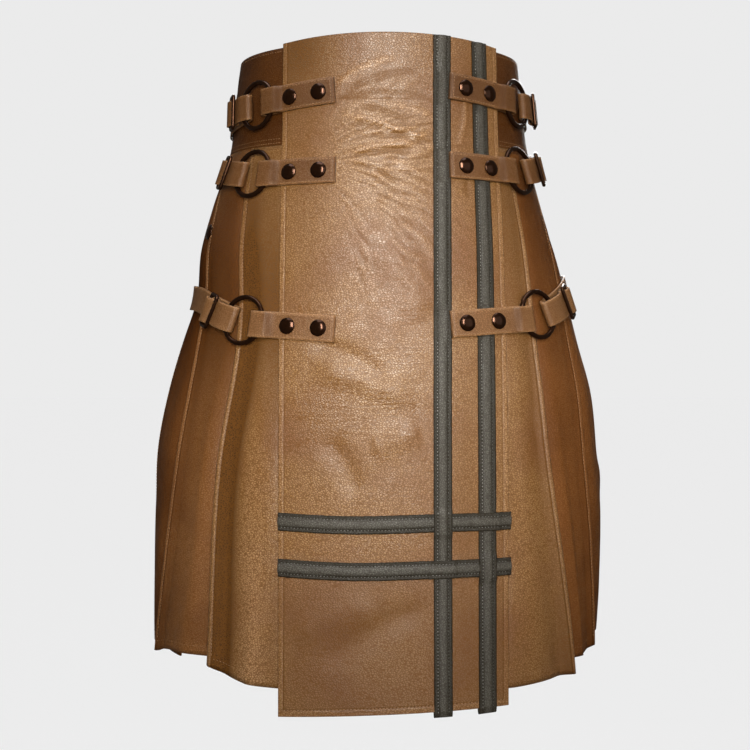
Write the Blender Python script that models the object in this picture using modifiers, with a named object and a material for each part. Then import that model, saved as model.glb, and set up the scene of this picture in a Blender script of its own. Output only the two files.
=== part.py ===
# Leather utility kilt, in the hollow form it keeps when worn.
# Metres, +Z up, front towards -Y. The origin is the centre of the waist opening.
#
# Every piece of leather is drawn in the wearer's own coordinates: how far round
# from the centre front, how high, and how far out from the wearer's room.

from collections import namedtuple
import math

import bpy
import numpy as np
from mathutils import Matrix, Vector

# ---- Sizes -----------------------------------------------------------------

LEATHER = 0.0016            # panels and pleats
YOKE_WALL = 0.0024          # yoke with its turned facing
STRAP_WALL = 0.0014
TAPE_WALL = 0.0010
GAP = 0.0003                # between pieces at a seam
REST_GAP = 0.0005           # under a tab that lies on the apron
STRAP_EASE = 0.0013         # under a strap that bridges the pleats

FRONT_TURN = 0.0125         # the centre front sits this far round from the -Y side
PLEATS_A_SIDE = 6

SEAM_HEIGHT = -0.0978       # lower edge of the yoke
YOKE_TOP = -0.0080
APRON_LEFT = 0.1005         # centre front to the apron's edge on each side
APRON_RIGHT = 0.1032
TUCK = 0.0145               # side panels start this far under the apron's edge
APRON_COLUMNS = (-APRON_LEFT, -0.084, -0.067, -0.050, -0.033, -0.016, 0.0, 0.018, 0.063,
                 APRON_RIGHT)
APRON_ROWS = (-0.030, -0.060, -0.095, -0.130, -0.160, -0.200, -0.250, -0.310, -0.370, -0.545)
UNDER_APRON_START = TUCK - APRON_LEFT + 0.0002      # beside the first left pleat
UNDER_APRON_END = 0.1080
UNDER_APRON_OUT = 0.0010
UNDER_APRON_ROWS = (-0.010, -0.040, -0.070, -0.0981, -0.130, -0.160, -0.200, -0.250, -0.310,
                    -0.390, -0.480, -0.570)
YOKE_OUT = 0.0044
YOKE_ROWS = (YOKE_TOP, -0.030, -0.060, -0.080, SEAM_HEIGHT)
YOKE_COLUMNS = 27

STRAP_WIDTH = 0.0238
RING_RADIUS = 0.02125       # to the centre of the wire
RING_WIRE = 0.00225
SLIDER_WIRE = 0.00175
SLIDER_LENGTH = 0.0110      # bar to bar
SLIDER_HEIGHT = 0.0304      # arm to arm
SLIDER_CORNER = 0.0018
EYE_RADIUS = 0.0035         # middle of the leather round the ring's wire
EYE_INSET = 0.0080          # ring's middle to the end of each eye
WIRE_MIDDLE = 0.0194        # ring's middle to its wire inside an eye
TAB_REJOIN = 0.0240         # ring's middle to where the tab's two layers meet
BACK_EYE_LIFT = 0.0015      # the strap's eye stands this much above the pleats
TAPE_WIDTH = 0.0160
TAPE_DROP = 0.0055          # the upright tapes wrap the hem this far below it
TAPE_TURN_UP = 0.0140       # and come this far up behind it
TAPE_RAMP = 0.0060          # where one tape climbs over another
TAPE_FLAT = 0.0008          # lies flat this far past the other's edge

# The wearer's room, from the waist down.
BodyLevel = namedtuple("BodyLevel", "height left_width right_width front_depth back_depth")
BODY = (
    BodyLevel(0.000, 0.1295, 0.1320, 0.1120, 0.1180),
    BodyLevel(-0.050, 0.1365, 0.1375, 0.1155, 0.1220),
    BodyLevel(-0.090, 0.1405, 0.1425, 0.1190, 0.1270),
    BodyLevel(-0.150, 0.1595, 0.1570, 0.1277, 0.1400),
    BodyLevel(-0.190, 0.1705, 0.1690, 0.1340, 0.1500),
    BodyLevel(-0.240, 0.1755, 0.1820, 0.1405, 0.1625),
    BodyLevel(-0.280, 0.1885, 0.1920, 0.1460, 0.1720),
    BodyLevel(-0.330, 0.2020, 0.2060, 0.1508, 0.1800),
    BodyLevel(-0.390, 0.2130, 0.2120, 0.1545, 0.1860),
    BodyLevel(-0.440, 0.2155, 0.2150, 0.1560, 0.1880),
    BodyLevel(-0.520, 0.2165, 0.2125, 0.1570, 0.1895),
    BodyLevel(-0.620, 0.2175, 0.2060, 0.1580, 0.1900),
)

# How far out the middle of the apron's leather stands.
ApronLevel = namedtuple("ApronLevel", "height out")
APRON_OUT = (
    ApronLevel(0.000, 0.0069),
    ApronLevel(-0.100, 0.0069),
    ApronLevel(-0.190, 0.0078),
    ApronLevel(-0.280, 0.0088),
    ApronLevel(-0.380, 0.0105),
    ApronLevel(-0.620, 0.0135),
)

# One row for each fold edge, numbered from the front. The distances round from
# the centre front are given at five heights; the sixth pair meets at centre back.
# swell and dip shape the panel's hem, hem_front and hem_fold are its hem heights.
FOLD_HEIGHTS = (-0.0986, -0.190, -0.280, -0.380, -0.590)
Pleat = namedtuple("Pleat", "side number waist hip thigh knee hem swell dip hem_front hem_fold")
PLEATS = (
    Pleat("left", 1, 0.141, 0.146, 0.145, 0.161, 0.172, 0.0010, 0.0020, -0.587, -0.574),
    Pleat("left", 2, 0.194, 0.200, 0.200, 0.215, 0.258, 0.0015, 0.0005, -0.570, -0.582),
    Pleat("left", 3, 0.250, 0.266, 0.282, 0.303, 0.342, 0.0000, 0.0015, -0.580, -0.578),
    Pleat("left", 4, 0.307, 0.337, 0.368, 0.394, 0.430, 0.0020, 0.0000, -0.579, -0.583),
    Pleat("left", 5, 0.365, 0.412, 0.458, 0.491, 0.518, 0.0005, 0.0010, -0.584, -0.580),
    Pleat("left", 6, None, None, None, None, None, 0.0010, 0.0005, -0.582, -0.584),
    Pleat("right", 1, 0.121, 0.133, 0.139, 0.149, 0.186, 0.0000, 0.0015, -0.591, -0.593),
    Pleat("right", 2, 0.178, 0.188, 0.194, 0.201, 0.230, 0.0010, 0.0000, -0.581, -0.575),
    Pleat("right", 3, 0.238, 0.254, 0.274, 0.295, 0.325, 0.0020, 0.0010, -0.571, -0.578),
    Pleat("right", 4, 0.300, 0.330, 0.362, 0.390, 0.420, 0.0005, 0.0015, -0.578, -0.582),
    Pleat("right", 5, 0.361, 0.408, 0.455, 0.488, 0.513, 0.0015, 0.0005, -0.583, -0.581),
    Pleat("right", 6, None, None, None, None, None, 0.0000, 0.0010, -0.580, -0.584),
)
PLEAT_ROWS = (-0.0986, -0.130, -0.160, -0.200, -0.250, -0.310, -0.390, -0.480)

# Distance out along one panel, from its hidden start to the edge of its fold.
Section = namedtuple("Section", "start under edge rise swell lap dip crest")
TOP_SECTION = Section(0.0004, 0.0004, 0.0004, 0.0016, 0.0048, 0.0049, 0.0049, 0.0049)
HEM_SECTION = Section(0.0004, 0.0004, 0.0008, 0.0052, 0.0094, 0.0088, 0.0082, 0.0132)
FIRST_TOP = Section(0.0029, 0.0037, 0.0046, 0.0049, 0.0049, 0.0049, 0.0049, 0.0049)
FIRST_HEM = Section(0.0030, 0.0062, 0.0086, 0.0100, 0.0108, 0.0098, 0.0076, 0.0132)
FOLD_ROOM = (0.0022, 0.0070)    # outer layer to turned-under layer, top and hem
LAP_DEPTH = (0.0220, 0.0350)    # turned-under width, top and hem
TURNED_END = (0.0027, 0.0029)   # how far out the turned-under edge lies
LEFT_START_OUT = 0.0010         # the first left panel is seamed beside the under apron
BACK_UNDERLAY_HEM = -0.578

# One row for each strap and its tab. Distances are round from the centre front.
Strap = namedtuple("Strap", "side row tab_end snap ring slider anchor z_tab z_ring z_slider")
STRAPS = (
    Strap("left", 1, 0.0500, 0.0910, 0.1275, 0.1530, 0.232, -0.0515, -0.0590, -0.0620),
    Strap("left", 2, 0.0495, 0.0912, 0.1300, 0.1580, 0.243, -0.1235, -0.1250, -0.1205),
    Strap("left", 3, 0.0497, 0.0915, 0.1340, 0.1640, 0.262, -0.2657, -0.2605, -0.2510),
    Strap("right", 1, 0.0495, 0.0888, 0.1290, 0.1545, 0.232, -0.0465, -0.0540, -0.0560),
    Strap("right", 2, 0.0495, 0.0890, 0.1270, 0.1525, 0.234, -0.1185, -0.1205, -0.1150),
    Strap("right", 3, 0.0502, 0.0930, 0.1369, 0.1700, 0.258, -0.2614, -0.2560, -0.2430),
)
NEAR_SNAP = 0.0640          # the snap nearer the centre front
SIDE_SNAP = (0.1995, -0.174)    # distance round on the left, and height

# Half outline of a snap cap: share of its radius, and height above what it lies on.
SnapPoint = namedtuple("SnapPoint", "reach rise")
SNAP_OUTLINE = (
    SnapPoint(0.000, 0.0030),
    SnapPoint(0.533, 0.0026),
    SnapPoint(0.907, 0.0014),
    SnapPoint(1.000, 0.0005),
    SnapPoint(0.947, 0.0000),
    SnapPoint(0.000, 0.0000),
)
SNAP_RADIUS = 0.0075

# Tapes sewn on the apron: the middle of each, and where it passes over another.
UPRIGHT_TAPES = {"a": 0.0435, "b": 0.0833}
LEVEL_TAPES = {"upper": -0.4365, "lower": -0.4775}
OVER = {("a", "upper"), ("b", "lower")}     # the upright tape is on top there

# Name, colour, metallic and roughness of each finish.
FINISHES = {
    "tan": ((0.36, 0.19, 0.08, 1.0), 0.0, 0.50),
    "strap": ((0.25, 0.11, 0.04, 1.0), 0.0, 0.45),
    "grey": ((0.09, 0.07, 0.05, 1.0), 0.0, 0.55),
    "bronze": ((0.05, 0.03, 0.02, 1.0), 1.0, 0.30),
}


# ---- Working out places ----------------------------------------------------

def smooth(levels, heights, values):
    """Pass a smooth curve through the table's values and read it at any height."""
    x = np.asarray(heights, float)[::-1]
    y = np.asarray(values, float)[::-1]
    slope = np.gradient(y, x)
    at = np.clip(np.asarray(levels, float), x[0], x[-1])
    i = np.clip(np.searchsorted(x, at) - 1, 0, len(x) - 2)
    step = x[i + 1] - x[i]
    t = (at - x[i]) / step
    start = (2 * t**3 - 3 * t**2 + 1) * y[i] + (t**3 - 2 * t**2 + t) * step * slope[i]
    end = (3 * t**2 - 2 * t**3) * y[i + 1] + (t**3 - t**2) * step * slope[i + 1]
    return start + end


def column(rows, name):
    return [getattr(row, name) for row in rows]


def body_size(name, height):
    return smooth(height, column(BODY, "height"), column(BODY, name))


def quarter_round(width, depth):
    flat = (width - depth) / (width + depth)
    return math.pi / 4 * (width + depth) * (1 + flat * flat / 4)


def side_round(side, height):
    """Distance round one side of the wearer's room, from -Y to +Y."""
    width = body_size(side + "_width", height)
    front = quarter_round(width, body_size("front_depth", height))
    return front + quarter_round(width, body_size("back_depth", height))


def half_round(height):
    """Half the distance all round, from the centre front to the centre back."""
    return (side_round("left", height) + side_round("right", height)) / 2


def place(around, height, out):
    """Turn distance round from the -Y side, height and distance out into points."""
    around, height, out = np.broadcast_arrays(around, height, out)
    left_round = side_round("left", height)
    all_round = left_round + side_round("right", height)
    wrapped = (around + left_round) % all_round - left_round
    reach = np.abs(wrapped)
    front = body_size("front_depth", height)
    back = body_size("back_depth", height)
    left_width = body_size("left_width", height)
    width = np.where(wrapped < 0, left_width, body_size("right_width", height))
    to_side = quarter_round(width, front)
    to_back = quarter_round(width, back)
    in_front = reach < to_side
    depth = np.where(in_front, front, back)
    turn = np.where(in_front, reach / to_side, 1 + (reach - to_side) / to_back) * math.pi / 2
    angle = turn - (width - depth) / (width + depth) / 2 * np.sin(2 * turn)
    normal_x = depth * np.sin(angle)
    normal_y = -width * np.cos(angle)
    length = np.hypot(normal_x, normal_y)
    x = width * np.sin(angle) + out * normal_x / length
    y = -depth * np.cos(angle) + out * normal_y / length
    return np.stack([np.where(wrapped < 0, -x, x), y, height + 0 * x], -1)


def from_front(side, distance):
    sign = -1.0 if side == "left" else 1.0
    return FRONT_TURN + sign * np.asarray(distance, float)


def stretch(around, height, out):
    """How much longer a step is at this distance out than on the wearer's room."""
    ends = place(np.array([around - 0.005, around + 0.005]), height, out)
    return float(np.linalg.norm(ends[1] - ends[0]) / 0.010)


def apron_out(height):
    return smooth(height, column(APRON_OUT, "height"), column(APRON_OUT, "out"))


def apron_top(distance):
    return -0.0050 * (distance / APRON_LEFT) ** 2


def apron_hem(distance):
    across = distance / APRON_LEFT
    return -0.6045 + 0.0032 * across - 0.0032 * across**2


def tape_middle(name, height):
    """Distance round to an upright tape's middle; the outer one leans in at the waist."""
    lean = 0.0024 if name == "b" else 0.0
    return UPRIGHT_TAPES[name] - lean * np.clip(1 + np.asarray(height, float) / 0.20, 0, 1)


def fullness(height):
    """0 at the yoke seam and 1 at the hem; the pleats open slowly at first."""
    share = (FOLD_HEIGHTS[0] - np.asarray(height, float)) / (FOLD_HEIGHTS[0] - FOLD_HEIGHTS[-1])
    return np.clip(share, 0.0, 1.05) ** 1.2


def blend(pair, height):
    return pair[0] + (pair[1] - pair[0]) * fullness(height)


def crest_out(height):
    """Outer face of the pleats where they stand out most."""
    return blend((TOP_SECTION.crest, HEM_SECTION.crest), height) + LEATHER / 2


def pleat_row(side, number):
    return next(row for row in PLEATS if row.side == side and row.number == number)


def fold_line(side, number, height):
    """Distance round to a fold edge; number 0 is the apron's edge."""
    if number == 0:
        edge = APRON_LEFT if side == "left" else APRON_RIGHT
        return edge + 0.0005 + 0 * np.asarray(height, float)
    if number == PLEATS_A_SIDE:
        return half_round(height) - (LEATHER + GAP) / 2
    row = pleat_row(side, number)
    return smooth(height, FOLD_HEIGHTS, (row.waist, row.hip, row.thigh, row.knee, row.hem))


def lap_depth(side, number, height):
    """Width of the leather turned under at a fold, less where the pleat is narrow."""
    full = float(blend(LAP_DEPTH, height))
    if number in (0, PLEATS_A_SIDE):
        return full
    width = fold_line(side, number, height) - fold_line(side, number - 1, height)
    return min(full, 0.55 * float(width))


# ---- Putting solids in the scene -------------------------------------------

def clear_scene():
    for thing in list(bpy.data.objects):
        bpy.data.objects.remove(thing, do_unlink=True)
    for group in list(bpy.data.collections):
        bpy.data.collections.remove(group)


def finish_material(name, finish):
    colour, metallic, roughness = FINISHES[finish]
    material = bpy.data.materials.new(name + "_" + finish)
    material.use_nodes = True
    shader = material.node_tree.nodes["Principled BSDF"]
    shader.inputs["Base Color"].default_value = colour
    shader.inputs["Metallic"].default_value = metallic
    shader.inputs["Roughness"].default_value = roughness
    material.diffuse_color = colour
    return material


def add_object(name, data, finish):
    thing = bpy.data.objects.new(name, data)
    data.materials.append(finish_material(name, finish))
    KILT.objects.link(thing)
    return thing


def sheet(name, around, height, out, wall, finish):
    """A leather sheet: rows run down it, columns run round it."""
    around, height, out = np.broadcast_arrays(around, height, out)
    points = place(around, height, out)
    rows, columns = around.shape
    index = np.arange(rows * columns).reshape(rows, columns)
    corners = (index[:-1, :-1], index[1:, :-1], index[1:, 1:], index[:-1, 1:])
    faces = np.stack(corners, -1).reshape(-1, 4)
    mesh = bpy.data.meshes.new(name)
    mesh.from_pydata(points.reshape(-1, 3).tolist(), [], faces.tolist())
    thing = add_object(name, mesh, finish)
    solid = thing.modifiers.new("wall", "SOLIDIFY")
    solid.thickness = wall
    solid.offset = 0.0
    solid.use_even_offset = True
    return thing


def square_across(side, distance, climb, height, out):
    """Steps round and up that make one unit square to a strap climbing at this rate."""
    small = 0.001
    ahead = place(from_front(side, distance + small), height, out)
    behind = place(from_front(side, distance - small), height, out)
    above = place(from_front(side, distance), height + small, out)
    below = place(from_front(side, distance), height - small, out)
    along = (ahead - behind) / (2 * small)
    rise = (above - below) / (2 * small)
    long_long = (along * along).sum(-1)
    long_rise = (along * rise).sum(-1)
    rise_rise = (rise * rise).sum(-1)
    back = -(long_rise + rise_rise * climb)
    up = long_long + long_rise * climb
    size = np.sqrt(back**2 * long_long + 2 * back * up * long_rise + up**2 * rise_rise)
    return back / size, up / size


def ribbon(name, side, path, middle_height, finish):
    """A strap carried along (distance round, distance out), square to its own slope."""
    distance = np.array([point[0] for point in path])
    out = np.array([point[1] for point in path])
    middle = middle_height(distance)
    climb = (middle_height(distance + 0.002) - middle_height(distance - 0.002)) / 0.004
    step_round, step_up = square_across(side, distance, climb, middle, out)
    half = np.array([[0.5], [-0.5]]) * STRAP_WIDTH
    height = middle[None, :] + half * step_up[None, :]
    edge = distance[None, :] + half * step_round[None, :]
    return sheet(name, from_front(side, edge), height, out[None, :], STRAP_WALL, finish)


def frame_at(around, height, out):
    """A point with its outward normal and the directions round and up."""
    centre = Vector(place(around, height, out))
    step = place(np.array([around - 0.001, around + 0.001]), height, out)
    rise = place(around, np.array([height - 0.001, height + 0.001]), out)
    along = Vector(step[1] - step[0]).normalized()
    up = Vector(rise[1] - rise[0]).normalized()
    normal = along.cross(up).normalized()
    return centre, along, normal


def axes_matrix(centre, x_axis, normal):
    y_axis = normal.cross(x_axis).normalized()
    x_axis = y_axis.cross(normal).normalized()
    turn = Matrix((x_axis, y_axis, normal)).transposed().to_4x4()
    return Matrix.Translation(centre) @ turn


# ---- Panels ----------------------------------------------------------------

def make_apron():
    tape_edges = []
    for middle in UPRIGHT_TAPES.values():
        tape_edges += [middle - TAPE_WIDTH / 2, middle + TAPE_WIDTH / 2]
    across = np.array(sorted(list(APRON_COLUMNS) + tape_edges))
    level_edges = []
    for middle in LEVEL_TAPES.values():
        level_edges += [middle + TAPE_WIDTH / 2, middle - TAPE_WIDTH / 2]
    rows = np.array(sorted(list(APRON_ROWS) + level_edges, reverse=True))
    height = np.vstack([
        apron_top(across),
        np.broadcast_to(rows[:, None], (len(rows), len(across))),
        apron_hem(across),
    ])
    around = from_front("right", np.broadcast_to(across, height.shape))
    sheet("apron", around, height, apron_out(height), LEATHER, "tan")
    return across, height


def make_under_apron():
    across = np.linspace(UNDER_APRON_START, UNDER_APRON_END, 12)
    around = from_front("right", across)[None, :]
    height = np.array(UNDER_APRON_ROWS)[:, None]
    sheet("under_apron", around, height, UNDER_APRON_OUT, LEATHER, "tan")


def make_yoke(side):
    heights = np.array(YOKE_ROWS)[:, None]
    share = np.linspace(0.0, 1.0, YOKE_COLUMNS)[None, :]
    start = float(fold_line(side, 0, SEAM_HEIGHT)) - TUCK
    distance = start + (half_round(heights) - GAP / 2 - start) * share
    sheet("yoke_" + side, from_front(side, distance), heights, YOKE_OUT, YOKE_WALL, "tan")


def make_pleat(row):
    """One pleat: hidden start, panel that shows, fold edge and turned-under lap."""
    first = row.number == 1
    top = FIRST_TOP if first else TOP_SECTION
    hem = FIRST_HEM if first else HEM_SECTION
    around = []
    heights = []
    outs = []
    for level in PLEAT_ROWS + (None,):
        base = FOLD_HEIGHTS[-1] if level is None else level
        front = float(fold_line(row.side, row.number - 1, base))
        fold = float(fold_line(row.side, row.number, base))
        full = float(fullness(base))
        lap = lap_depth(row.side, row.number, base)
        lead = TUCK if first else lap_depth(row.side, row.number - 1, base)
        room = float(blend(FOLD_ROOM, base))
        shape = [a + (b - a) * full for a, b in zip(top, hem)]
        shape = Section(*shape)
        start_out = shape.start
        if first and row.side == "left":
            start_out = LEFT_START_OUT
        bend = room / 2
        open_width = fold - front
        narrow = min(0.0040, 0.12 * open_width)
        rise_at = front + narrow * (1 - full) + 0.15 * open_width * full
        swell_at = front + 2.5 * narrow * (1 - full) + 0.40 * open_width * full
        turned = TURNED_END[0] + (TURNED_END[1] - TURNED_END[0]) * full
        inner = shape.crest - room
        section = [
            (front - lead, start_out),
            (front - lead / 2, shape.under),
            (front, shape.edge),
            (rise_at, shape.rise),
            (swell_at, shape.swell + row.swell * full),
            (fold - lap, shape.lap),
            (fold - lap / 2, shape.dip - row.dip * full * 0.5),
            (fold - bend, shape.crest),
            (fold - bend + bend * math.cos(math.pi / 6), shape.crest - bend / 2),
            (fold - bend + bend * math.cos(math.pi / 6), shape.crest - 3 * bend / 2),
            (fold - bend, inner),
            (fold - lap / 2, turned + (inner - turned) * 0.45),
            (fold - lap, turned),
        ]
        distance = np.array([point[0] for point in section])
        if level is None:
            share = np.clip((distance - front) / open_width, 0.0, 1.0) ** 3
            level_row = row.hem_front + (row.hem_fold - row.hem_front) * share
        else:
            level_row = np.full(len(distance), level)
        around.append(from_front(row.side, distance))
        heights.append(level_row)
        outs.append([point[1] for point in section])
    name = "pleat_%s_%d" % (row.side, row.number)
    sheet(name, np.array(around), np.array(heights), np.array(outs), LEATHER, "tan")


def make_back_underlay():
    """The panel that shows in the slit where the two last folds meet."""
    height = np.array(PLEAT_ROWS + (BACK_UNDERLAY_HEM,))[:, None]
    share = np.linspace(-1.0, 1.0, 5)[None, :]
    around = FRONT_TURN + half_round(height) + share * blend(LAP_DEPTH, height)
    sheet("pleat_back", around, height, TOP_SECTION.start, LEATHER, "tan")


# ---- Tapes on the apron ----------------------------------------------------

def tape_lift(upright, level, on_top):
    """Extra distance out where one tape passes over another."""
    over = (upright, level) in OVER
    lifted = over if on_top == "upright" else not over
    return TAPE_WALL + GAP if lifted else 0.0


def make_upright_tape(name, middle, apron_rows):
    low = float(apron_hem(middle))
    stops = [float(apron_top(middle))] + [value for value in apron_rows if low + 0.02 < value]
    lift = {}
    for level, height in LEVEL_TAPES.items():
        amount = tape_lift(name, level, "upright")
        lift[round(height + TAPE_WIDTH / 2, 5)] = amount
        lift[round(height - TAPE_WIDTH / 2, 5)] = amount
        if amount:
            stops += [height + TAPE_WIDTH / 2 + TAPE_RAMP, height - TAPE_WIDTH / 2 - TAPE_RAMP]
            lift[round(height + TAPE_WIDTH / 2 + TAPE_FLAT, 5)] = amount
            lift[round(height - TAPE_WIDTH / 2 - TAPE_FLAT, 5)] = amount
            stops += [height + TAPE_WIDTH / 2 + TAPE_FLAT, height - TAPE_WIDTH / 2 - TAPE_FLAT]
    stops = sorted(stops, reverse=True)
    clear = LEATHER / 2 + GAP + TAPE_WALL / 2
    heights = []
    outs = []
    for value in stops:
        heights.append(value)
        outs.append(float(apron_out(value)) + clear + lift.get(round(value, 5), 0.0))
    edge_out = float(apron_out(low))
    for angle in (90, 45, 0, -45, -90):
        turn = math.radians(angle)
        heights.append(low - (TAPE_DROP - TAPE_WALL / 2) * math.cos(turn))
        outs.append(edge_out + clear * math.sin(turn))
    heights.append(low + TAPE_TURN_UP)
    outs.append(float(apron_out(low + TAPE_TURN_UP)) - clear)
    heights = np.array(heights)[:, None]
    across = tape_middle(name, heights) + np.array([[-0.5, 0.5]]) * TAPE_WIDTH
    sheet("tape_upright_" + name, from_front("right", across), heights,
          np.array(outs)[:, None], TAPE_WALL, "grey")


def make_level_tape(name, middle, apron_columns):
    stops = [value for value in apron_columns]
    lift = {}
    for upright, centre in UPRIGHT_TAPES.items():
        amount = tape_lift(upright, name, "level")
        lift[round(centre - TAPE_WIDTH / 2, 5)] = amount
        lift[round(centre + TAPE_WIDTH / 2, 5)] = amount
        if amount:
            stops += [centre - TAPE_WIDTH / 2 - TAPE_RAMP, centre + TAPE_WIDTH / 2 + TAPE_RAMP]
            lift[round(centre - TAPE_WIDTH / 2 - TAPE_FLAT, 5)] = amount
            lift[round(centre + TAPE_WIDTH / 2 + TAPE_FLAT, 5)] = amount
            stops += [centre - TAPE_WIDTH / 2 - TAPE_FLAT, centre + TAPE_WIDTH / 2 + TAPE_FLAT]
    stops = np.array(sorted(stops))
    extra = np.array([lift.get(round(value, 5), 0.0) for value in stops])
    heights = middle + np.array([[0.5], [-0.5]]) * TAPE_WIDTH
    out = apron_out(heights) + LEATHER / 2 + GAP + TAPE_WALL / 2 + extra[None, :]
    sheet("tape_level_" + name, from_front("right", stops)[None, :], heights, out,
          TAPE_WALL, "grey")


# ---- Straps, rings and snaps -----------------------------------------------

def tab_height(row):
    """Height of the tab's middle: it runs straight from its free end to the ring."""
    slope = (row.z_ring - row.z_tab) / (row.ring - row.tab_end)
    return lambda distance: row.z_tab + slope * (distance - row.tab_end)


def strap_height(row):
    """Height of the strap's middle: straight through the slider, then levelling off."""
    slope = (row.z_slider - row.z_ring) / (row.slider - row.ring)
    past = row.slider + 0.030
    rounds = (row.anchor, past, row.slider + 0.016, row.slider, row.ring, row.ring - 0.040)
    reach = [value - row.slider for value in rounds]
    reach[0] = 0.045
    heights = [row.z_slider + slope * value for value in reach]
    return lambda distance: smooth(distance, rounds, heights)


def strap_levels(row):
    """Distances out for one strap: tab layers, both eyes and the running layer."""
    height = row.z_ring
    on_tape = TAPE_WALL + GAP if row.side == "right" else 0.0
    tab = float(apron_out(height)) + LEATHER / 2 + REST_GAP + STRAP_WALL / 2
    below = float(crest_out(height - STRAP_WIDTH / 2))
    run = below + STRAP_EASE + STRAP_WALL / 2
    return {
        "tab": tab,
        "on_tape": on_tape,
        "front_eye": tab + EYE_RADIUS,
        "back_eye": run + EYE_RADIUS + BACK_EYE_LIFT,
        "run": run,
    }


def eye_points(centre, out, reach, towards_back):
    """Half a turn round the ring's wire, from the lower layer to the upper one."""
    points = []
    for angle in (-90, -54, -18, 18, 54, 90):
        turn = math.radians(angle)
        step = reach * math.cos(turn)
        distance = centre + step if towards_back else centre - step
        points.append((distance, out + EYE_RADIUS * math.sin(turn)))
    return points


def make_tab(row):
    levels = strap_levels(row)
    scale = stretch(float(from_front(row.side, row.ring)), row.z_ring, levels["front_eye"])
    bend = row.ring - (EYE_INSET + EYE_RADIUS + STRAP_WALL / 2) / scale
    wire_end = row.ring - TAB_REJOIN / scale
    on_tape = levels["on_tape"]
    tape_end = UPRIGHT_TAPES["b"] + TAPE_WIDTH / 2 + 0.0012
    on_panel = np.linspace(row.tab_end, tape_end, 5)
    step = STRAP_WALL + GAP
    path = []
    for distance in on_panel:
        path.append((distance, levels["tab"] + on_tape))
    path.append((tape_end + 0.0060, levels["tab"]))
    path.append((wire_end, levels["tab"]))
    path += eye_points(bend, levels["front_eye"], EYE_RADIUS / scale, True)
    top = levels["front_eye"] + EYE_RADIUS
    path.append((wire_end, top))
    low = levels["tab"] + step
    path.append((wire_end - 0.0030, top * 0.65 + (low + on_tape) * 0.35))
    path.append((max(wire_end - 0.0070, tape_end + 0.0030), low + on_tape + 0.0004))
    for distance in on_panel[::-1]:
        path.append((distance, low + on_tape))
    name = "tab_%s_%d" % (row.side, row.row)
    ribbon(name, row.side, path, tab_height(row), "strap")
    return low + on_tape + STRAP_WALL / 2


def make_strap(row):
    levels = strap_levels(row)
    eye = levels["back_eye"]
    scale = stretch(float(from_front(row.side, row.ring)), row.z_ring, eye)
    bend = row.ring + (EYE_INSET + EYE_RADIUS + STRAP_WALL / 2) / scale
    bar = row.slider
    end_bar = bar + SLIDER_LENGTH / scale
    wrap = SLIDER_WIRE + REST_GAP + STRAP_WALL / 2
    path = []
    for distance in np.linspace(row.anchor, bar, 8):
        path.append((distance, levels["run"]))
    path.append(((bar + bend) / 2, levels["run"] + 0.0007))
    path += eye_points(bend, eye, EYE_RADIUS / scale, False)
    top = eye + EYE_RADIUS
    path.append(((bend + bar) / 2, top))
    path.append((bar + 0.0010 / scale, top))
    end_out = top + 0.0003
    path.append((bar + 0.0070 / scale, end_out + wrap * 0.85))
    for angle in (80, 40, 0, -40, -80):
        turn = math.radians(angle)
        path.append((end_bar + wrap * math.cos(turn) / scale, end_out + wrap * math.sin(turn)))
    path.append((end_bar - 0.0012 / scale, end_out - wrap * 1.22))
    path.append((bar + 0.0030 / scale, end_out - wrap * 1.40))
    name = "strap_%s_%d" % (row.side, row.row)
    ribbon(name, row.side, path, strap_height(row), "strap")


def make_ring(row):
    levels = strap_levels(row)
    middle = WIRE_MIDDLE / stretch(float(from_front(row.side, row.ring)), row.z_ring, 0.012)
    ends = []
    for distance, height, out in (
            (row.ring - middle, tab_height(row), levels["front_eye"]),
            (row.ring + middle, strap_height(row), levels["back_eye"])):
        around = float(from_front(row.side, distance))
        ends.append(Vector(place(around, float(height(distance)), out)))
    centre = (ends[0] + ends[1]) / 2
    along = (ends[1] - ends[0]).normalized()
    outward = frame_at(float(from_front(row.side, row.ring)), row.z_ring, 0.012)[2]
    up = outward.cross(along)
    normal = along.cross(up).normalized()
    bpy.ops.mesh.primitive_torus_add(
        major_radius=RING_RADIUS, minor_radius=RING_WIRE, major_segments=24, minor_segments=6)
    add_primitive("ring_%s_%d" % (row.side, row.row), axes_matrix(centre, along, normal))


def add_primitive(name, matrix):
    """Name the primitive just made, move its points into place and give it bronze."""
    thing = bpy.context.active_object
    thing.name = name
    thing.data.name = name
    thing.data.transform(matrix)
    thing.data.materials.append(finish_material(name, "bronze"))
    for group in list(thing.users_collection):
        group.objects.unlink(thing)
    KILT.objects.link(thing)


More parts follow.
